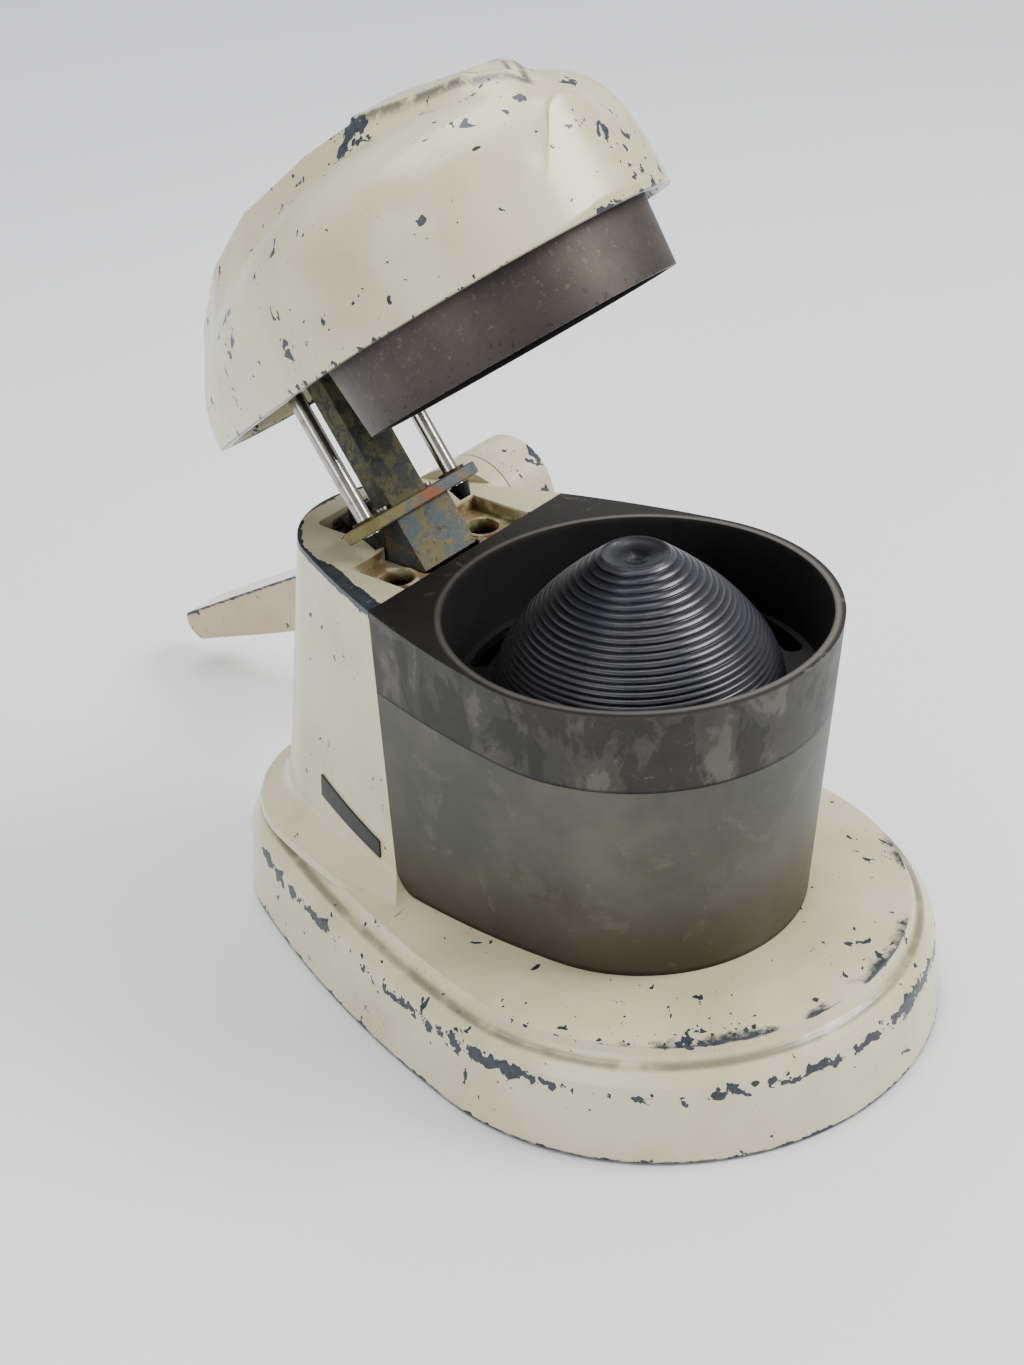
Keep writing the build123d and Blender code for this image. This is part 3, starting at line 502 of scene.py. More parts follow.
    def marks(self, graph: Graph, colour: Tint) -> Tint:
        """Add the stains and lines that belong to one piece only.

        Args:
            graph: the material's tree.
            colour: the enamel so far.

        Returns:
            The enamel with its marks.
        """
        if self.zone is Zone.LEVER:
            return self.lever_marks(graph, colour)
        if self.zone is Zone.BASE:
            return self.base_marks(graph, colour)
        return self.shell_marks(graph, colour)

    @staticmethod
    def lever_marks(graph: Graph, colour: Tint) -> Tint:
        """Yellowed and spotted left face of the arm.

        Args:
            graph: the material's tree.
            colour: the enamel so far.

        Returns:
            The marked enamel.
        """
        side = graph.facing()[0].ramp(-0.5, -0.95)
        colour = colour.toward(rgb(168, 138, 78), side * (0.35 + graph.noise(20.0, 4.0) * 0.4))
        return colour.toward(rgb(90, 70, 44), graph.noise(5.0, 4.0, 0.7).ramp(0.62, 0.7) * side * 0.5)

    @staticmethod
    def base_marks(graph: Graph, colour: Tint) -> Tint:
        """Painted shade in the base's groove, stains in the column's recess with painted shade at its bottom,
        and painted shade in a slot.

        Args:
            graph: the material's tree.
            colour: the enamel so far.

        Returns:
            The marked enamel.
        """
        x, y, z = graph.axes()
        # painted shade: a dark line along the groove under the shoulder, standing in for the shade in the
        # crease
        groove = z.near(35.3, 1.6) * graph.noise(15.0, 3.0).ramp(0.15, 0.55)
        colour = colour.toward(rgb(84, 78, 58), groove * 0.75)
        pit = z.ramp(151.6, 150.6) * y.ramp(70.0, 72.0) * y.ramp(99.4, 98.7) * z.ramp(110.0, 130.0)
        pit = pit * abs(x).ramp(34.6, 33.8)
        rust = graph.noise(7.0, 4.0).ramp(0.42, 0.62)
        olive = graph.noise(11.0, 3.0).ramp(0.4, 0.56)
        # painted shade: the walls of the slot inside the column, painted near black
        slot = abs(x).ramp(17.5, 14.6) * z.ramp(147.4, 146.0) * z.ramp(70.0, 110.0)
        slot = slot * y.ramp(74.0, 77.0) * y.ramp(134.0, 132.0)
        colour = colour.toward(rgb(122, 112, 66), olive * pit * 0.9)
        colour = colour.toward(rgb(126, 66, 30), rust * pit * 0.75)
        # painted shade: the recess darkens towards its bottom
        colour = colour.toward(rgb(34, 32, 24), pit * z.ramp(148.0, 143.0) * 0.9)
        return colour.toward(rgb(28, 28, 22), slot)

    @staticmethod
    def shell_marks(graph: Graph, colour: Tint) -> Tint:
        """Broken dark lines round the keystone pad, and painted shade on the rim's underside.

        Args:
            graph: the material's tree.
            colour: the enamel so far.

        Returns:
            The marked enamel.
        """
        x, y, z = graph.closed()
        upper = z.ramp(HEAD_RIM + 38.0, HEAD_RIM + 46.0)
        rear, flank, nose = keystone_edges(abs(x), y)
        edge = rear.above(flank).above(nose)
        lines = edge.near(-0.2, 1.7).above(edge.near(-3.6, 1.3)) * upper
        broken = graph.noise(6.0, 3.0).ramp(0.3, 0.5)
        # painted shade: the downward face of the rim, darkened
        inner = z.ramp(HEAD_RIM + 0.6, HEAD_RIM) * 0.8
        return colour.toward(rgb(58, 58, 54), lines * broken * 0.85).toward(rgb(70, 68, 60), inner)


class Metal(Enum):
    """The bare metal pieces and how each has aged."""

    POT = "pot"
    TRAY = "tray"
    CUP = "cup"
    CONE = "cone"


@dataclass(frozen=True)
class CastMetal:
    """Satin or stained casting of one of the Metal kinds."""

    kind: Metal

    def material(self) -> bpy.types.Material:
        """Build the finish.

        Returns:
            The material.
        """
        makers = {Metal.POT: self.pot, Metal.TRAY: self.tray, Metal.CUP: self.cup, Metal.CONE: self.cone}
        return makers[self.kind]()

    def pot(self) -> bpy.types.Material:
        """Smooth satin grey, browner low down, with soft stains low on the left and painted shade along its
        foot.

        Returns:
            The material.
        """
        graph = Graph("pot_satin")
        x, y, z = graph.axes()
        cloud = graph.noise(40.0, 5.0, 0.6)
        fine = graph.noise(1.1, 3.0, 0.7)
        colour = graph.mix(rgb(80, 80, 74), rgb(97, 95, 87), cloud.ramp(0.35, 0.7))
        colour = colour.toward(rgb(72, 62, 50), z.ramp(84.0, 44.0) * (0.25 + cloud * 0.5))
        near = z.near(72.0, 16.0) * y.near(-5.0, 34.0) * x.ramp(0.0, -30.0)
        colour = colour.toward(rgb(62, 46, 38), near * graph.noise(8.0).ramp(0.42, 0.55) * 0.3)
        spill = graph.noise(26.0, 5.0, 0.7, 1.2).ramp(0.58, 0.66)
        colour = colour.toward(rgb(112, 108, 98), spill * 0.3)
        # painted shade: a dark band at the foot, where the pot sits in the base's recess
        colour = colour.toward(rgb(52, 48, 44), z.ramp(46.0, 44.5) * 0.8)
        rough = 0.38 + cloud * 0.14 + fine * 0.06
        return graph.surface(colour, rough, 0.82, graph.bump(fine + cloud * 0.4, 0.03))

    def tray(self) -> bpy.types.Material:
        """Dark grey-brown top, a bowl painted near black as painted shade, a lighter outer band with streaks,
        and a bright rim line.

        Returns:
            The material.
        """
        graph = Graph("tray_worn")
        x, y, z = graph.axes()
        radius = (x * x + y * y) ** 0.5
        bowl = radius.ramp(65.6, 64.6)
        top = z.ramp(151.2, 151.8) * (1.0 - bowl)
        outer = (1.0 - top) * (1.0 - bowl)
        cloud = graph.noise(24.0, 5.0, 0.65)
        streak = graph.noise(9.0, 4.0, 0.7, 0.5, graph.stretched((1.0, 1.0, 0.32)))
        colour = graph.mix(rgb(62, 61, 57), rgb(80, 78, 72), cloud.ramp(0.35, 0.68))
        run = graph.noise(19.0, 5.0, 0.62, 0.5, graph.stretched((1.0, 1.0, 0.6)))
        light = (run + cloud * 0.3).ramp(0.70, 0.76) * outer
        colour = colour.toward(rgb(120, 116, 106), light * 0.32)
        smudge = graph.noise(4.5, 4.0, 0.7, 0.8).ramp(0.6, 0.68) * cloud.ramp(0.45, 0.6) * outer
        colour = colour.toward(rgb(136, 132, 122), smudge * 0.45)
        dark = (run - cloud * 0.3).ramp(0.36, 0.3) * outer
        colour = colour.toward(rgb(40, 39, 36), dark * 0.6)
        colour = colour.toward(rgb(48, 46, 45), top * (0.5 + cloud * 0.5))
        scuff = graph.noise(18.0, 6.0, 0.75, 1.5).ramp(0.6, 0.68) * top
        colour = colour.toward(rgb(122, 118, 112), scuff * 0.5)
        # painted shade: the bowl, a recess under the cone and cup, painted near black
        colour = colour.toward(rgb(34, 33, 34), bowl * 0.93)
        rim = radius.near(66.2, 1.6) * z.ramp(150.4, 151.6)
        colour = colour.toward(rgb(150, 144, 138), rim * 0.55)
        seam = z.ramp(123.0, 121.7) * outer
        colour = colour.toward(rgb(28, 26, 25), seam * 0.8)
        rough = 0.34 + cloud * 0.22 + streak * 0.08
        metal = 0.75 - bowl * 0.3
        return graph.surface(colour, rough, metal, graph.bump(streak + graph.noise(1.2, 3.0), 0.04))

    def cup(self) -> bpy.types.Material:
        """Brown-grey satin with a darker speckled lower band, and painted shade: a black inside.

        Returns:
            The material.
        """
        graph = Graph("cup_satin")
        x, y, z = graph.closed()
        radius = (x * x + y * y) ** 0.5
        low = z - (HEAD_RIM - 23.5)
        cloud = graph.noise(22.0, 5.0, 0.65)
        speck = graph.noise(2.2, 4.0, 0.7)
        colour = graph.mix(rgb(84, 77, 72), rgb(70, 65, 62), cloud.ramp(0.3, 0.75))
        band = (low + cloud * 8.0).ramp(14.0, 3.0)
        colour = colour.toward(rgb(66, 61, 58), band * 0.75)
        colour = colour.toward(rgb(40, 37, 35), speck.ramp(0.56, 0.66) * (0.25 + band * 0.6))
        colour = colour.toward(rgb(122, 112, 100), (speck * (1.0 - band)).ramp(0.56, 0.66) * 0.45)
        # painted shade: the inside of the cup, painted near black, lighter at the lip
        inside = radius.ramp(56.0, 54.0)
        lip = low.ramp(1.2, 0.0)
        colour = colour.toward(rgb(20, 20, 21), inside * (1.0 - lip * 0.5))
        rough = 0.44 + cloud * 0.08 + speck * 0.08
        return graph.surface(colour, rough, 0.7 - inside * 0.4, graph.bump(speck + cloud * 0.5, 0.05))

    def cone(self) -> bpy.types.Material:
        """Near black, with pale worn edges on its rings and painted shade in the grooves between them.

        Returns:
            The material.
        """
        graph = Graph("cone_black")
        _, _, z = graph.axes()
        wear = graph.noise(16.0, 4.0, 0.6)
        fine = graph.noise(1.4, 3.0)
        phase = self.ring_phase(z)
        crest = phase.near(0.42, 0.3)
        ring_groove_shade = phase.near(0.98, 0.22).above(phase.near(0.0, 0.12))
        colour = graph.mix(rgb(50, 51, 58), rgb(36, 36, 41), wear.ramp(0.3, 0.7))
        colour = colour.toward(rgb(108, 106, 112), crest * wear.ramp(0.36, 0.7) * 0.5)
        # painted shade in the grooves between the rings
        colour = colour.toward(rgb(12, 12, 13), ring_groove_shade * 0.85)
        colour = colour.toward(rgb(74, 74, 80), z.ramp(170.5, 172.0) * 0.5)
        return graph.surface(colour, 0.22 + wear * 0.16, 0.3, graph.bump(fine, 0.03), 0.2)

    @staticmethod
    def ring_phase(z: Signal) -> Signal:
        """Share of the way through the ring that a height falls in.

        Args:
            z: the height.

        Returns:
            The share, from 0 to 1.
        """
        share = (z - RIB_LOW) / ((RIB_TOP - RIB_LOW) / RIB_COUNT)
        return share.graph.math("FRACT", share)


@dataclass(frozen=True)
class Corroded:
    """Dark plated iron with patches of two stain colours."""

    name: str
    ground: Colour
    patch: Colour
    stain: Colour
    patch_size: float = 9.0
    patch_share: float = 0.5
    split_x: bool = False

    def material(self) -> bpy.types.Material:
        """Build the finish.

        Returns:
            The material.
        """
        graph = Graph(self.name)
        patch = graph.noise(self.patch_size, 5.0, 0.65, 0.8)
        stain = graph.noise(self.patch_size * 0.5, 4.0, 0.7, 0.5)
        pits = graph.noise(0.9, 3.0, 0.7)
        spread, rusty = patch, stain
        if self.split_x:
            x, _, _ = graph.axes()
            spread = patch + x.ramp(6.0, -14.0) * 0.22 - 0.11
            rusty = stain + x.near(0.0, 13.0) * 0.14
        share = 0.62 - 0.24 * self.patch_share
        patched = spread.ramp(share - 0.05, share + 0.05)
        colour = graph.mix(self.ground, self.patch, patched * 0.9)
        colour = colour.toward(self.stain, rusty.ramp(0.56, 0.66) * 0.8)
        colour = colour.toward(rgb(20, 19, 16), pits.ramp(0.58, 0.7) * 0.7)
        rough = 0.42 + patch * 0.3
        return graph.surface(colour, rough, 0.35, graph.bump(pits + stain, 0.12))


@dataclass(frozen=True)
class PlainMetal:
    """Evenly coloured metal with fine grain and light staining."""

    name: str
    colour: Colour
    stain: Colour
    roughness: float = 0.35
    metallic: float = 0.9
    grain: float = 1.0

    def material(self) -> bpy.types.Material:
        """Build the finish.

        Returns:
            The material.
        """
        graph = Graph(self.name)
        cloud = graph.noise(6.0, 4.0, 0.6)
        grain = graph.noise(0.7, 2.0)
        colour = graph.mix(self.colour, self.stain, cloud.ramp(0.5, 0.75) * 0.7)
        rough = cloud * 0.16 + (self.roughness - 0.08)
        return graph.surface(colour, rough, self.metallic, graph.bump(grain, 0.02 * self.grain))


@dataclass(frozen=True)
class Floor:
    """Pale matt floor."""

    colour: Colour = rgb(240, 241, 243)

    def material(self) -> bpy.types.Material:
        """Build the finish.

        Returns:
            The material.
        """
        graph = Graph("floor_pale")
        cloud = graph.noise(300.0, 3.0)
        colour = graph.mix(self.colour, rgb(234, 235, 238), cloud)
        return graph.surface(colour, 0.55 + cloud * 0.1)


# ---- surfaces -----------------------------------------------------------------------------
class Surface:
    """Mesh pieces made from numpy grids."""

    @staticmethod
    def grid(name: str, points: np.ndarray, wrap: bool = False, close_ends: bool = False) -> bpy.types.Object:
        """Make a quad mesh from a grid of points.

        Args:
            name: the piece's name.
            points: array (rows, columns, 3) in millimetres.
            wrap: whether the last column meets the first.
            close_ends: whether the first and last rows are closed by a fan to their centres.

        Returns:
            The mesh object.
        """
        rows, cols, _ = points.shape
        index = np.arange(rows * cols).reshape(rows, cols)
        right = np.roll(index, -1, axis=1) if wrap else index[:, 1:]
        left = index if wrap else index[:, :-1]
        quads = np.stack([left[:-1], right[:-1], right[1:], left[1:]], axis=-1).reshape(-1, 4)
        verts = points.reshape(-1, 3)
        faces = quads.tolist()
        if close_ends:
            count = len(verts)
            verts = np.vstack([verts, points[0].mean(0), points[-1].mean(0)])
            first = np.stack([np.full(cols, count), right[0], left[0]], axis=-1)
            last = np.stack([np.full(cols, count + 1), left[-1], right[-1]], axis=-1)
            faces = faces + first.tolist() + last.tolist()
        mesh = bpy.data.meshes.new(name)
        mesh.from_pydata((verts * MM).tolist(), [], faces)
        mesh.shade_smooth()
        mesh.update()
        piece = bpy.data.objects.new(name, mesh)
        bpy.context.scene.collection.objects.link(piece)
        return piece

    @staticmethod
    def lathe(name: str, radius: np.ndarray, height: np.ndarray, steps: int = 200) -> bpy.types.Object:
        """Turn a profile about the reamer's axis and close its ends.

        Args:
            name: the piece's name.
            radius: profile radii in millimetres, from bottom to top.
            height: profile heights in millimetres.
            steps: points round each circle.

        Returns:
            The mesh object.
        """
        turn = np.linspace(0.0, 2 * np.pi, steps, endpoint=False)
        rows = np.stack([radius[:, None] * np.cos(turn), radius[:, None] * np.sin(turn),
                         np.repeat(height[:, None], steps, axis=1)], axis=-1)
        return Surface.grid(name, rows, wrap=True, close_ends=True)


@dataclass(frozen=True)
class Plan:
    """Closed outline of four tangent arcs: front circle, rear circle and two wide side arcs."""

    front_r: float
    rear_r: float
    rear_y: float
    side_r: float

    def points(self, count: int) -> np.ndarray:
        """Sample the outline at even distances, starting at the front and turning to +X.

        Args:
            count: number of points.

        Returns:
            Array (count, 2) in millimetres.
        """
        to_front, to_rear = self.side_r - self.front_r, self.side_r - self.rear_r
        mid_y = self.rear_y / 2 + (to_front**2 - to_rear**2) / (2 * self.rear_y)
        mid_x = math.sqrt(to_front**2 - mid_y**2)
        low = math.atan2(-mid_y, mid_x)
        high = math.atan2(self.rear_y - mid_y, mid_x)
        front = np.linspace(-np.pi / 2, low, 60, endpoint=False)
        side = np.linspace(low, high, 60, endpoint=False)
        rear = np.linspace(high, np.pi / 2, 60)
        half = np.concatenate([
            self.front_r * np.stack([np.cos(front), np.sin(front)], axis=-1),
            self.side_r * np.stack([np.cos(side), np.sin(side)], axis=-1) + (-mid_x, mid_y),
            self.rear_r * np.stack([np.cos(rear), np.sin(rear)], axis=-1) + (0.0, self.rear_y)])
        ring = np.concatenate([half, half[::-1] * (-1.0, 1.0)])
        run = np.concatenate([[0.0], np.cumsum(np.linalg.norm(np.diff(ring, axis=0), axis=1))])
        even = np.linspace(0.0, run[-1], count, endpoint=False)
        return np.stack([np.interp(even, run, ring[:, 0]), np.interp(even, run, ring[:, 1])], axis=-1)


@dataclass(frozen=True)
class Crown:
    """Form of the head's shell over its rim plane, in the head's own closed coordinates.

    The dome's plan draws in with height by a superellipse. A crest with arched sections lies
    along its top; the two are joined by a smooth maximum. A keystone pad stands on the crest.
    """

    rise: float = 57.0
    wall: float = 4.0
    front_r: float = 67.6
    rear_r: float = 36.0
    rear_end: float = 142.2
    side_r: float = 400.0
    around: int = 360
    rows: int = 130
    stations: Tuple[float, ...] = (-62.0, -54.0, -45.0, -9.0, 20.0, 62.0, 93.0, 120.0, 138.0, 143.0)
    halves: Tuple[float, ...] = (7.0, 8.5, 11.0, 24.0, 23.5, 22.0, 19.0, 14.0, 8.0, 6.0)
    tops: Tuple[float, ...] = (37.5, 50.0, 57.3, 66.0, 67.0, 64.6, 56.5, 43.0, 28.0, 16.0)
    pad: float = 1.5

    def dome(self, shrink: float) -> np.ndarray:
        """Rings of the dome from its rim to its top.

        Args:
            shrink: how far inside the outer surface the rings lie.

        Returns:
            Array (rows, around, 3).
        """
        turn = np.linspace(0.0, np.pi / 2, self.rows)
        share = np.sin(turn) ** 0.9
        rings = []
        for part in share.tolist():
            squeeze = max(1.0 - min(part, 0.99999) ** 4, 1e-6) ** (1 / 3)
            high = part * self.rise
            front = self.front_r * squeeze
            rear = self.rear_r * (0.2 + 0.8 * squeeze) - 0.08 * high
            end = self.rear_end - 88.0 * (1.0 - squeeze) ** 1.15 - 0.0072 * high**2 - 0.1 * high
            plan = Plan(max(front - shrink, 0.6), max(rear - shrink, 0.5), max(end - rear, 2.0), self.side_r)
            flat = plan.points(self.around)
            level = np.full((self.around, 1), part * (self.rise - shrink))
            rings.append(np.concatenate([flat, level], axis=1))
        return np.stack(rings)

    @staticmethod
    def rear_fall(y: np.ndarray) -> np.ndarray:
        """Share of its height that the dome keeps at a place, less towards the rear.

        Args:
            y: closed places along the head.

        Returns:
            The shares.
        """
        return 1.0 - 0.27 * np.clip((y - 25.0) / 117.0, 0.0, 1.0) ** 1.3

    def crest(self, x: np.ndarray, y: np.ndarray) -> np.ndarray:
        """Height of the crest over the rim plane.

        Args:
            x, y: closed places.

        Returns:
            Heights: an arch across each station, falling steeply beyond its half-width.
        """
        half = np.interp(y, self.stations, self.halves)
        top = np.interp(y, self.stations, self.tops)
        side = np.abs(x)
        return top - 2.2 * (np.minimum(side / half, 1.0)) ** 2 - 1.5 * np.maximum(side - half, 0.0)

    def outer(self) -> np.ndarray:
        """Raise the dome's rings to the crest and the keystone pad.

        Returns:
            Array (rows, around, 3).
        """
        rings = self.dome(0.0)
        x, y = rings[..., 0], rings[..., 1]
        z = rings[..., 2] * self.rear_fall(y)
        crest = self.crest(x, y)
        soft = 1.0 + 2.2 * np.clip((-y - 28.0) / 22.0, 0.0, 1.0)
        gap = np.clip((crest - z) / soft, -40.0, 40.0)
        high = z + soft * np.logaddexp(0.0, gap)
        high = z + (high - z) * np.clip(z / 12.0, 0.0, 1.0)
        edge = np.max(keystone_edges(np.abs(x), y), axis=0)
        upper = np.clip((high - 44.0) / 6.0, 0.0, 1.0)
        step = np.clip(0.5 - edge / 1.2, 0.0, 1.0) - 0.5 * np.clip(0.5 - (edge + 3.4) / 1.2, 0.0, 1.0)
        rings[..., 2] = high + self.pad * step * upper
        return rings

    def build(self) -> bpy.types.Object:
        """One closed skin: up inside from the crown to the rim, then outside to the crown.

        Returns:
            The shell's mesh object, in the row frame.
        """
        inner = self.dome(self.wall)[::-3]
        inner[..., 2] *= self.rear_fall(inner[..., 1])
        skin = np.concatenate([inner, self.outer()])
        return Surface.grid("shell_form", to_row(skin), wrap=True, close_ends=True)


def to_row(closed: np.ndarray) -> np.ndarray:
    """Carry places given for the closed head, over its rim plane, to the raised and tilted pose.

    Args:
        closed: array (..., 3) of x, y and height over the rim plane.

    Returns:
        The same places in the row frame, in millimetres.
    """
    dy = closed[..., 1] - SHAFT_Y
    dz = closed[..., 2] + HEAD_RIM + LIFT - SHAFT_Z
    y = SHAFT_Y + dy * math.cos(TILT) + dz * math.sin(TILT)
    z = SHAFT_Z - dy * math.sin(TILT) + dz * math.cos(TILT)
    return np.stack([closed[..., 0], y, z], axis=-1)


# ---- sub-assemblies -----------------------------------------------------------------------
class Part:
    """A sub-assembly that gives its nodes their finishes."""

    def paint(self, nodes: Sequence[str], material: bpy.types.Material, bevel: float = 0.0) -> None:
        """Give CAD nodes one finish and, if asked, broken edges.

        Args:
            nodes: node names.
            material: the finish.
            bevel: edge width in millimetres, 0 for none.
        """
        for name in nodes:
            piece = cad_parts[name]
            for slot in piece.material_slots:
                slot.material = material
            if not piece.material_slots:
                piece.data.materials.append(material)
            if bevel:
                weld = piece.modifiers.new("weld", "WELD")
                weld.merge_threshold = 0.00001
                edge = piece.modifiers.new("edge", "BEVEL")
                edge.width = bevel * MM
                edge.segments = 2
                edge.limit_method = "ANGLE"
                edge.angle_limit = math.radians(38)
                even = piece.modifiers.new("even", "WEIGHTED_NORMAL")
                even.weight = 60


@dataclass
class Stand(Part):
    """Base casting with its column, cover, feet and label."""

    enamel: Enamel = Enamel(Zone.BASE)
    steel: PlainMetal = PlainMetal("screw_steel", rgb(150, 148, 142), rgb(96, 82, 64))

    def dress(self) -> None:
        """Paint the stand's nodes, and the screws and bushes of the whole press."""
        self.paint(["base_casting"], self.enamel.material(), 0.8)
        self.paint(["foot_screws", "hub_washer", "hub_screw", "plate_screws", "rod_nuts", "bar_screw",
                    "cup_screw", "shell_screws", "cone_stud", "cone_nut"], self.steel.material(), 0.15)
        sheet = PlainMetal("cover_sheet", rgb(92, 92, 90), rgb(70, 62, 52), 0.5)
        rubber = PlainMetal("rubber", rgb(26, 26, 26), rgb(40, 38, 36), 0.8, 0.0)
        black = PlainMetal("label_black", rgb(18, 19, 21), rgb(44, 44, 46), 0.32, 0.1)
        bronze = PlainMetal("bronze", rgb(78, 66, 44), rgb(46, 40, 28), 0.5)
        self.paint(["bottom_cover"], sheet.material())
        self.paint(["rubber_feet"], rubber.material(), 0.3)
        self.paint(["label_plate"], black.material(), 0.2)
        self.paint(["shaft_bushes", "thrust_washers", "rod_bushes"], bronze.material(), 0.15)


@dataclass
class Vessel(Part):
    """Pot, tray and reamer."""

    foot: float = 124.02
    top: float = 172.75
    tip_r: float = 11.6
    flare: float = 37.9
    plain_share: float = 0.061
    groove_depth: float = 1.05
    groove_width: float = 0.17
    clearance: float = 0.12

    def reamer(self) -> bpy.types.Object:
        """Ribbed cone: radius 11.6 + 37.9 (1 - h^1.75), less a narrow groove under each ring.

        Returns:
            The cone's mesh object.
        """
        high = np.linspace(0.0, 1.0, RIB_COUNT * 12 + 1)
        radius = self.tip_r + self.flare * (1.0 - high**1.75)
        turns = (high - self.plain_share) / (1.0 - self.plain_share) * RIB_COUNT
        share = np.clip(turns, 0.0, None) % 1.0
        groove = np.exp(-((np.minimum(share, 1.0 - share) / self.groove_width) ** 2))
        cut = self.groove_depth * groove * (high > 0.055) * (high < 0.995)
        dish_r = np.array([10.9, 10.2, 9.2, 6.0, 3.4, 2.0])
        dish_z = np.array([-0.05, -0.4, -1.3, -1.9, -2.2, -3.4])
        foot_r = np.array([0.5, 25.0])
        radii = np.concatenate([foot_r, radius - cut - self.clearance, dish_r])
        rise = self.foot + (self.top - self.foot) * high
        heights = np.concatenate([np.full(2, self.foot), rise, self.top + dish_z])
        return Surface.lathe("cone_form", radii, heights)

    def dress(self) -> None:
        """Paint the vessel's nodes."""
        cone = self.reamer()
        cone.data.materials.append(CastMetal(Metal.CONE).material())
        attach(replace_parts(cone, "reamer_cone"), "frame")
        self.paint(["juice_pot"], CastMetal(Metal.POT).material(), 0.6)
        self.paint(["strainer_tray"], CastMetal(Metal.TRAY).material(), 0.6)


@dataclass
class Drive(Part):
    """Lever, shaft and pinion."""

    def dress(self) -> None:
        """Paint the drive's nodes."""
        yellowed = Enamel(Zone.LEVER, rgb(214, 206, 182), rgb(190, 176, 142))
        oiled = PlainMetal("oiled_steel", rgb(92, 88, 80), rgb(58, 46, 34), 0.38)
        self.paint(["lever"], yellowed.material(), 2.4)
        self.paint(["lever_shaft", "pinion", "shaft_key", "pinion_spacers", "hub_pin"], oiled.material(), 0.2)


@dataclass
class Guide(Part):
    """Block and cross plate that guide the ram."""

    def dress(self) -> None:
        """Paint the guide's nodes."""
        plate = Corroded("plate_corroded", rgb(92, 98, 100), rgb(126, 118, 68), rgb(150, 84, 34),
                         12.0, 0.5, True)
        block = Corroded("block_corroded", rgb(74, 82, 84), rgb(108, 98, 60), rgb(48, 44, 30), 8.0, 0.42)
        self.paint(["cross_plate"], plate.material(), 0.6)
        self.paint(["guide_block"], block.material(), 0.5)


@dataclass
class Head(Part):
    """Ram, cup and shell."""

    def dress(self) -> None:
        """Paint the head's nodes."""
        shell = Crown().build()
        shell.data.materials.append(Enamel(Zone.SHELL).material())
        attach(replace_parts(shell, "head_shell"), "head")
        self.paint(["press_cup"], CastMetal(Metal.CUP).material(), 0.5)
        mottled = Corroded("bar_mottled", rgb(58, 60, 54), rgb(98, 96, 62), rgb(34, 34, 28), 7.0, 0.45)
        bridge = Corroded("bridge_dark", rgb(48, 48, 46), rgb(70, 68, 56), rgb(30, 28, 24))
        chrome = PlainMetal("rod_chrome", rgb(176, 172, 166), rgb(122, 98, 76), 0.16, 1.0)
        dark = PlainMetal("tip_dark", rgb(34, 33, 32), rgb(60, 56, 50), 0.45, 0.6)
        self.paint(["ram_bar"], mottled.material(), 0.3)
        self.paint(["head_bridge"], bridge.material(), 0.5)
        self.paint(["guide_rods"], chrome.material(), 0.2)
        self.paint(["rod_tips"], dark.material(), 0.3)


# ---- studio -------------------------------------------------------------------------------
@dataclass(frozen=True)
class Lamp:
    """A soft rectangular light; places and sizes in metres."""

    name: str
    place: Tuple[float, float, float]
    size: Tuple[float, float]
    watts: float
    colour: Tuple[float, float, float]

    def hang(self) -> None:
        """Add the light, aimed at the object's middle."""
        data = bpy.data.lights.new(self.name, "AREA")
        data.shape = "RECTANGLE"
        data.size, data.size_y = self.size
        data.energy = self.watts
        data.color = self.colour
        lamp = bpy.data.objects.new(self.name, data)
        lamp.location = self.place
        aim = Vector((0.0, 0.05, 0.15)) - Vector(self.place)
        lamp.rotation_euler = aim.to_track_quat("-Z", "Y").to_euler()
        bpy.context.scene.collection.objects.link(lamp)


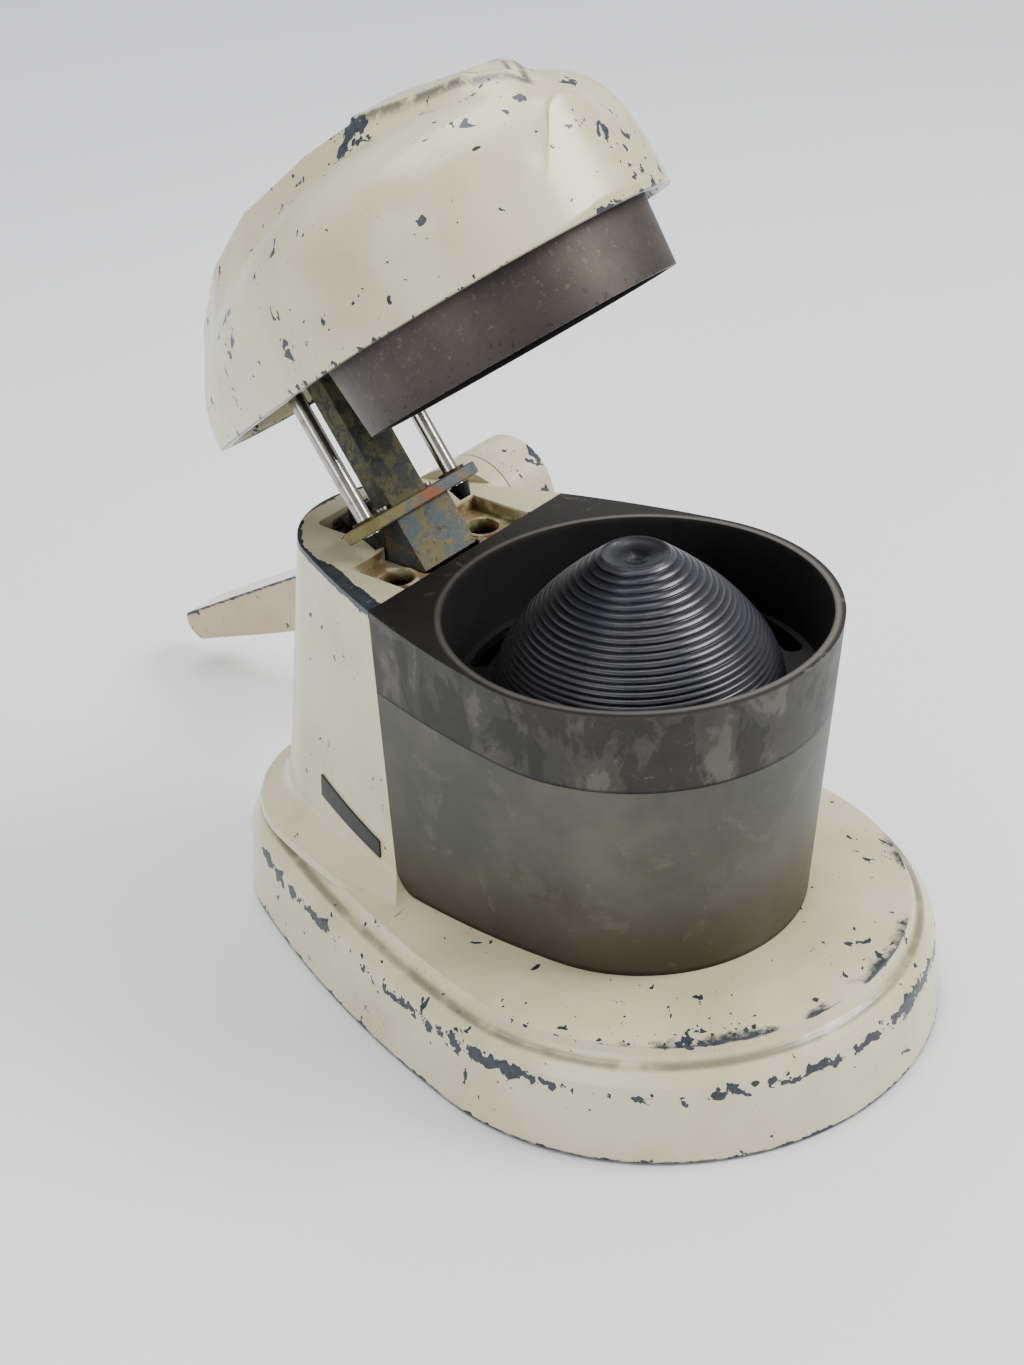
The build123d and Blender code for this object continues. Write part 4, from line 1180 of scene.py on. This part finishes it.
@dataclass
class Studio:
    """Floor, soft lights and the camera."""

    lamps: Tuple[Lamp, ...] = (
        Lamp("key", (0.75, -0.95, 1.35), (0.9, 0.7), 31.0, (1.0, 0.99, 0.96)),
        Lamp("top", (0.1, 0.5, 1.7), (1.5, 1.2), 27.0, (0.97, 0.98, 1.0)),
        Lamp("fill", (-1.4, -0.1, 0.75), (0.9, 0.9), 7.0, (1.0, 0.98, 0.95)))

    eye: Tuple[float, float, float] = (-584.67, -446.58, 566.06)
    azimuth: float = math.radians(-49.3)
    elevation: float = math.radians(30.93)
    roll: float = math.radians(-3.28)
    lens: float = 67.29

    def axes(self) -> Tuple[np.ndarray, np.ndarray, np.ndarray]:
        """The camera's right, up and backward directions.

        Returns:
            Three unit vectors.
        """
        a, e, r = self.azimuth, self.elevation, self.roll
        level = np.array([math.cos(a), math.sin(a), 0.0])
        back = np.array([math.sin(a) * math.cos(e), -math.cos(a) * math.cos(e), math.sin(e)])
        upright = np.cross(back, level)
        right = math.cos(r) * level + math.sin(r) * upright
        up = -math.sin(r) * level + math.cos(r) * upright
        return right, up, back

    def camera(self) -> None:
        """Place the camera."""
        data = bpy.data.cameras.new("camera")
        data.lens = self.lens
        data.sensor_width = 36.0
        data.clip_start = 0.01
        data.clip_end = 50.0
        right, up, back = self.axes()
        matrix = np.eye(4)
        matrix[:3, 0], matrix[:3, 1], matrix[:3, 2] = right, up, back
        matrix[:3, 3] = np.array(self.eye) * MM
        camera = bpy.data.objects.new("camera", data)
        camera.matrix_world = Matrix(matrix.tolist())
        bpy.context.scene.collection.objects.link(camera)
        bpy.context.scene.camera = camera

    def build(self) -> None:
        """Add the floor, lights, world and camera."""
        reach = np.linspace(-4000.0, 4000.0, 9)
        u, v = np.meshgrid(reach, reach)
        floor = Surface.grid("floor", np.stack([u, v, u * 0.0], axis=-1))
        floor.data.materials.append(Floor().material())
        for lamp in self.lamps:
            lamp.hang()
        world = bpy.data.worlds.new("studio")
        world.use_nodes = True
        back = world.node_tree.nodes["Background"]
        back.inputs["Color"].default_value = (0.86, 0.88, 0.92, 1.0)
        back.inputs["Strength"].default_value = 0.6
        bpy.context.scene.world = world
        self.camera()


def main() -> None:
    """Dress the press and set up the studio."""
    logging.basicConfig(level=logging.INFO)
    for part in (Stand(), Vessel(), Drive(), Guide(), Head()):
        LOG.info("dressing %s", type(part).__name__)
        part.dress()
    Studio().build()


if __name__ == "__main__":
    main()
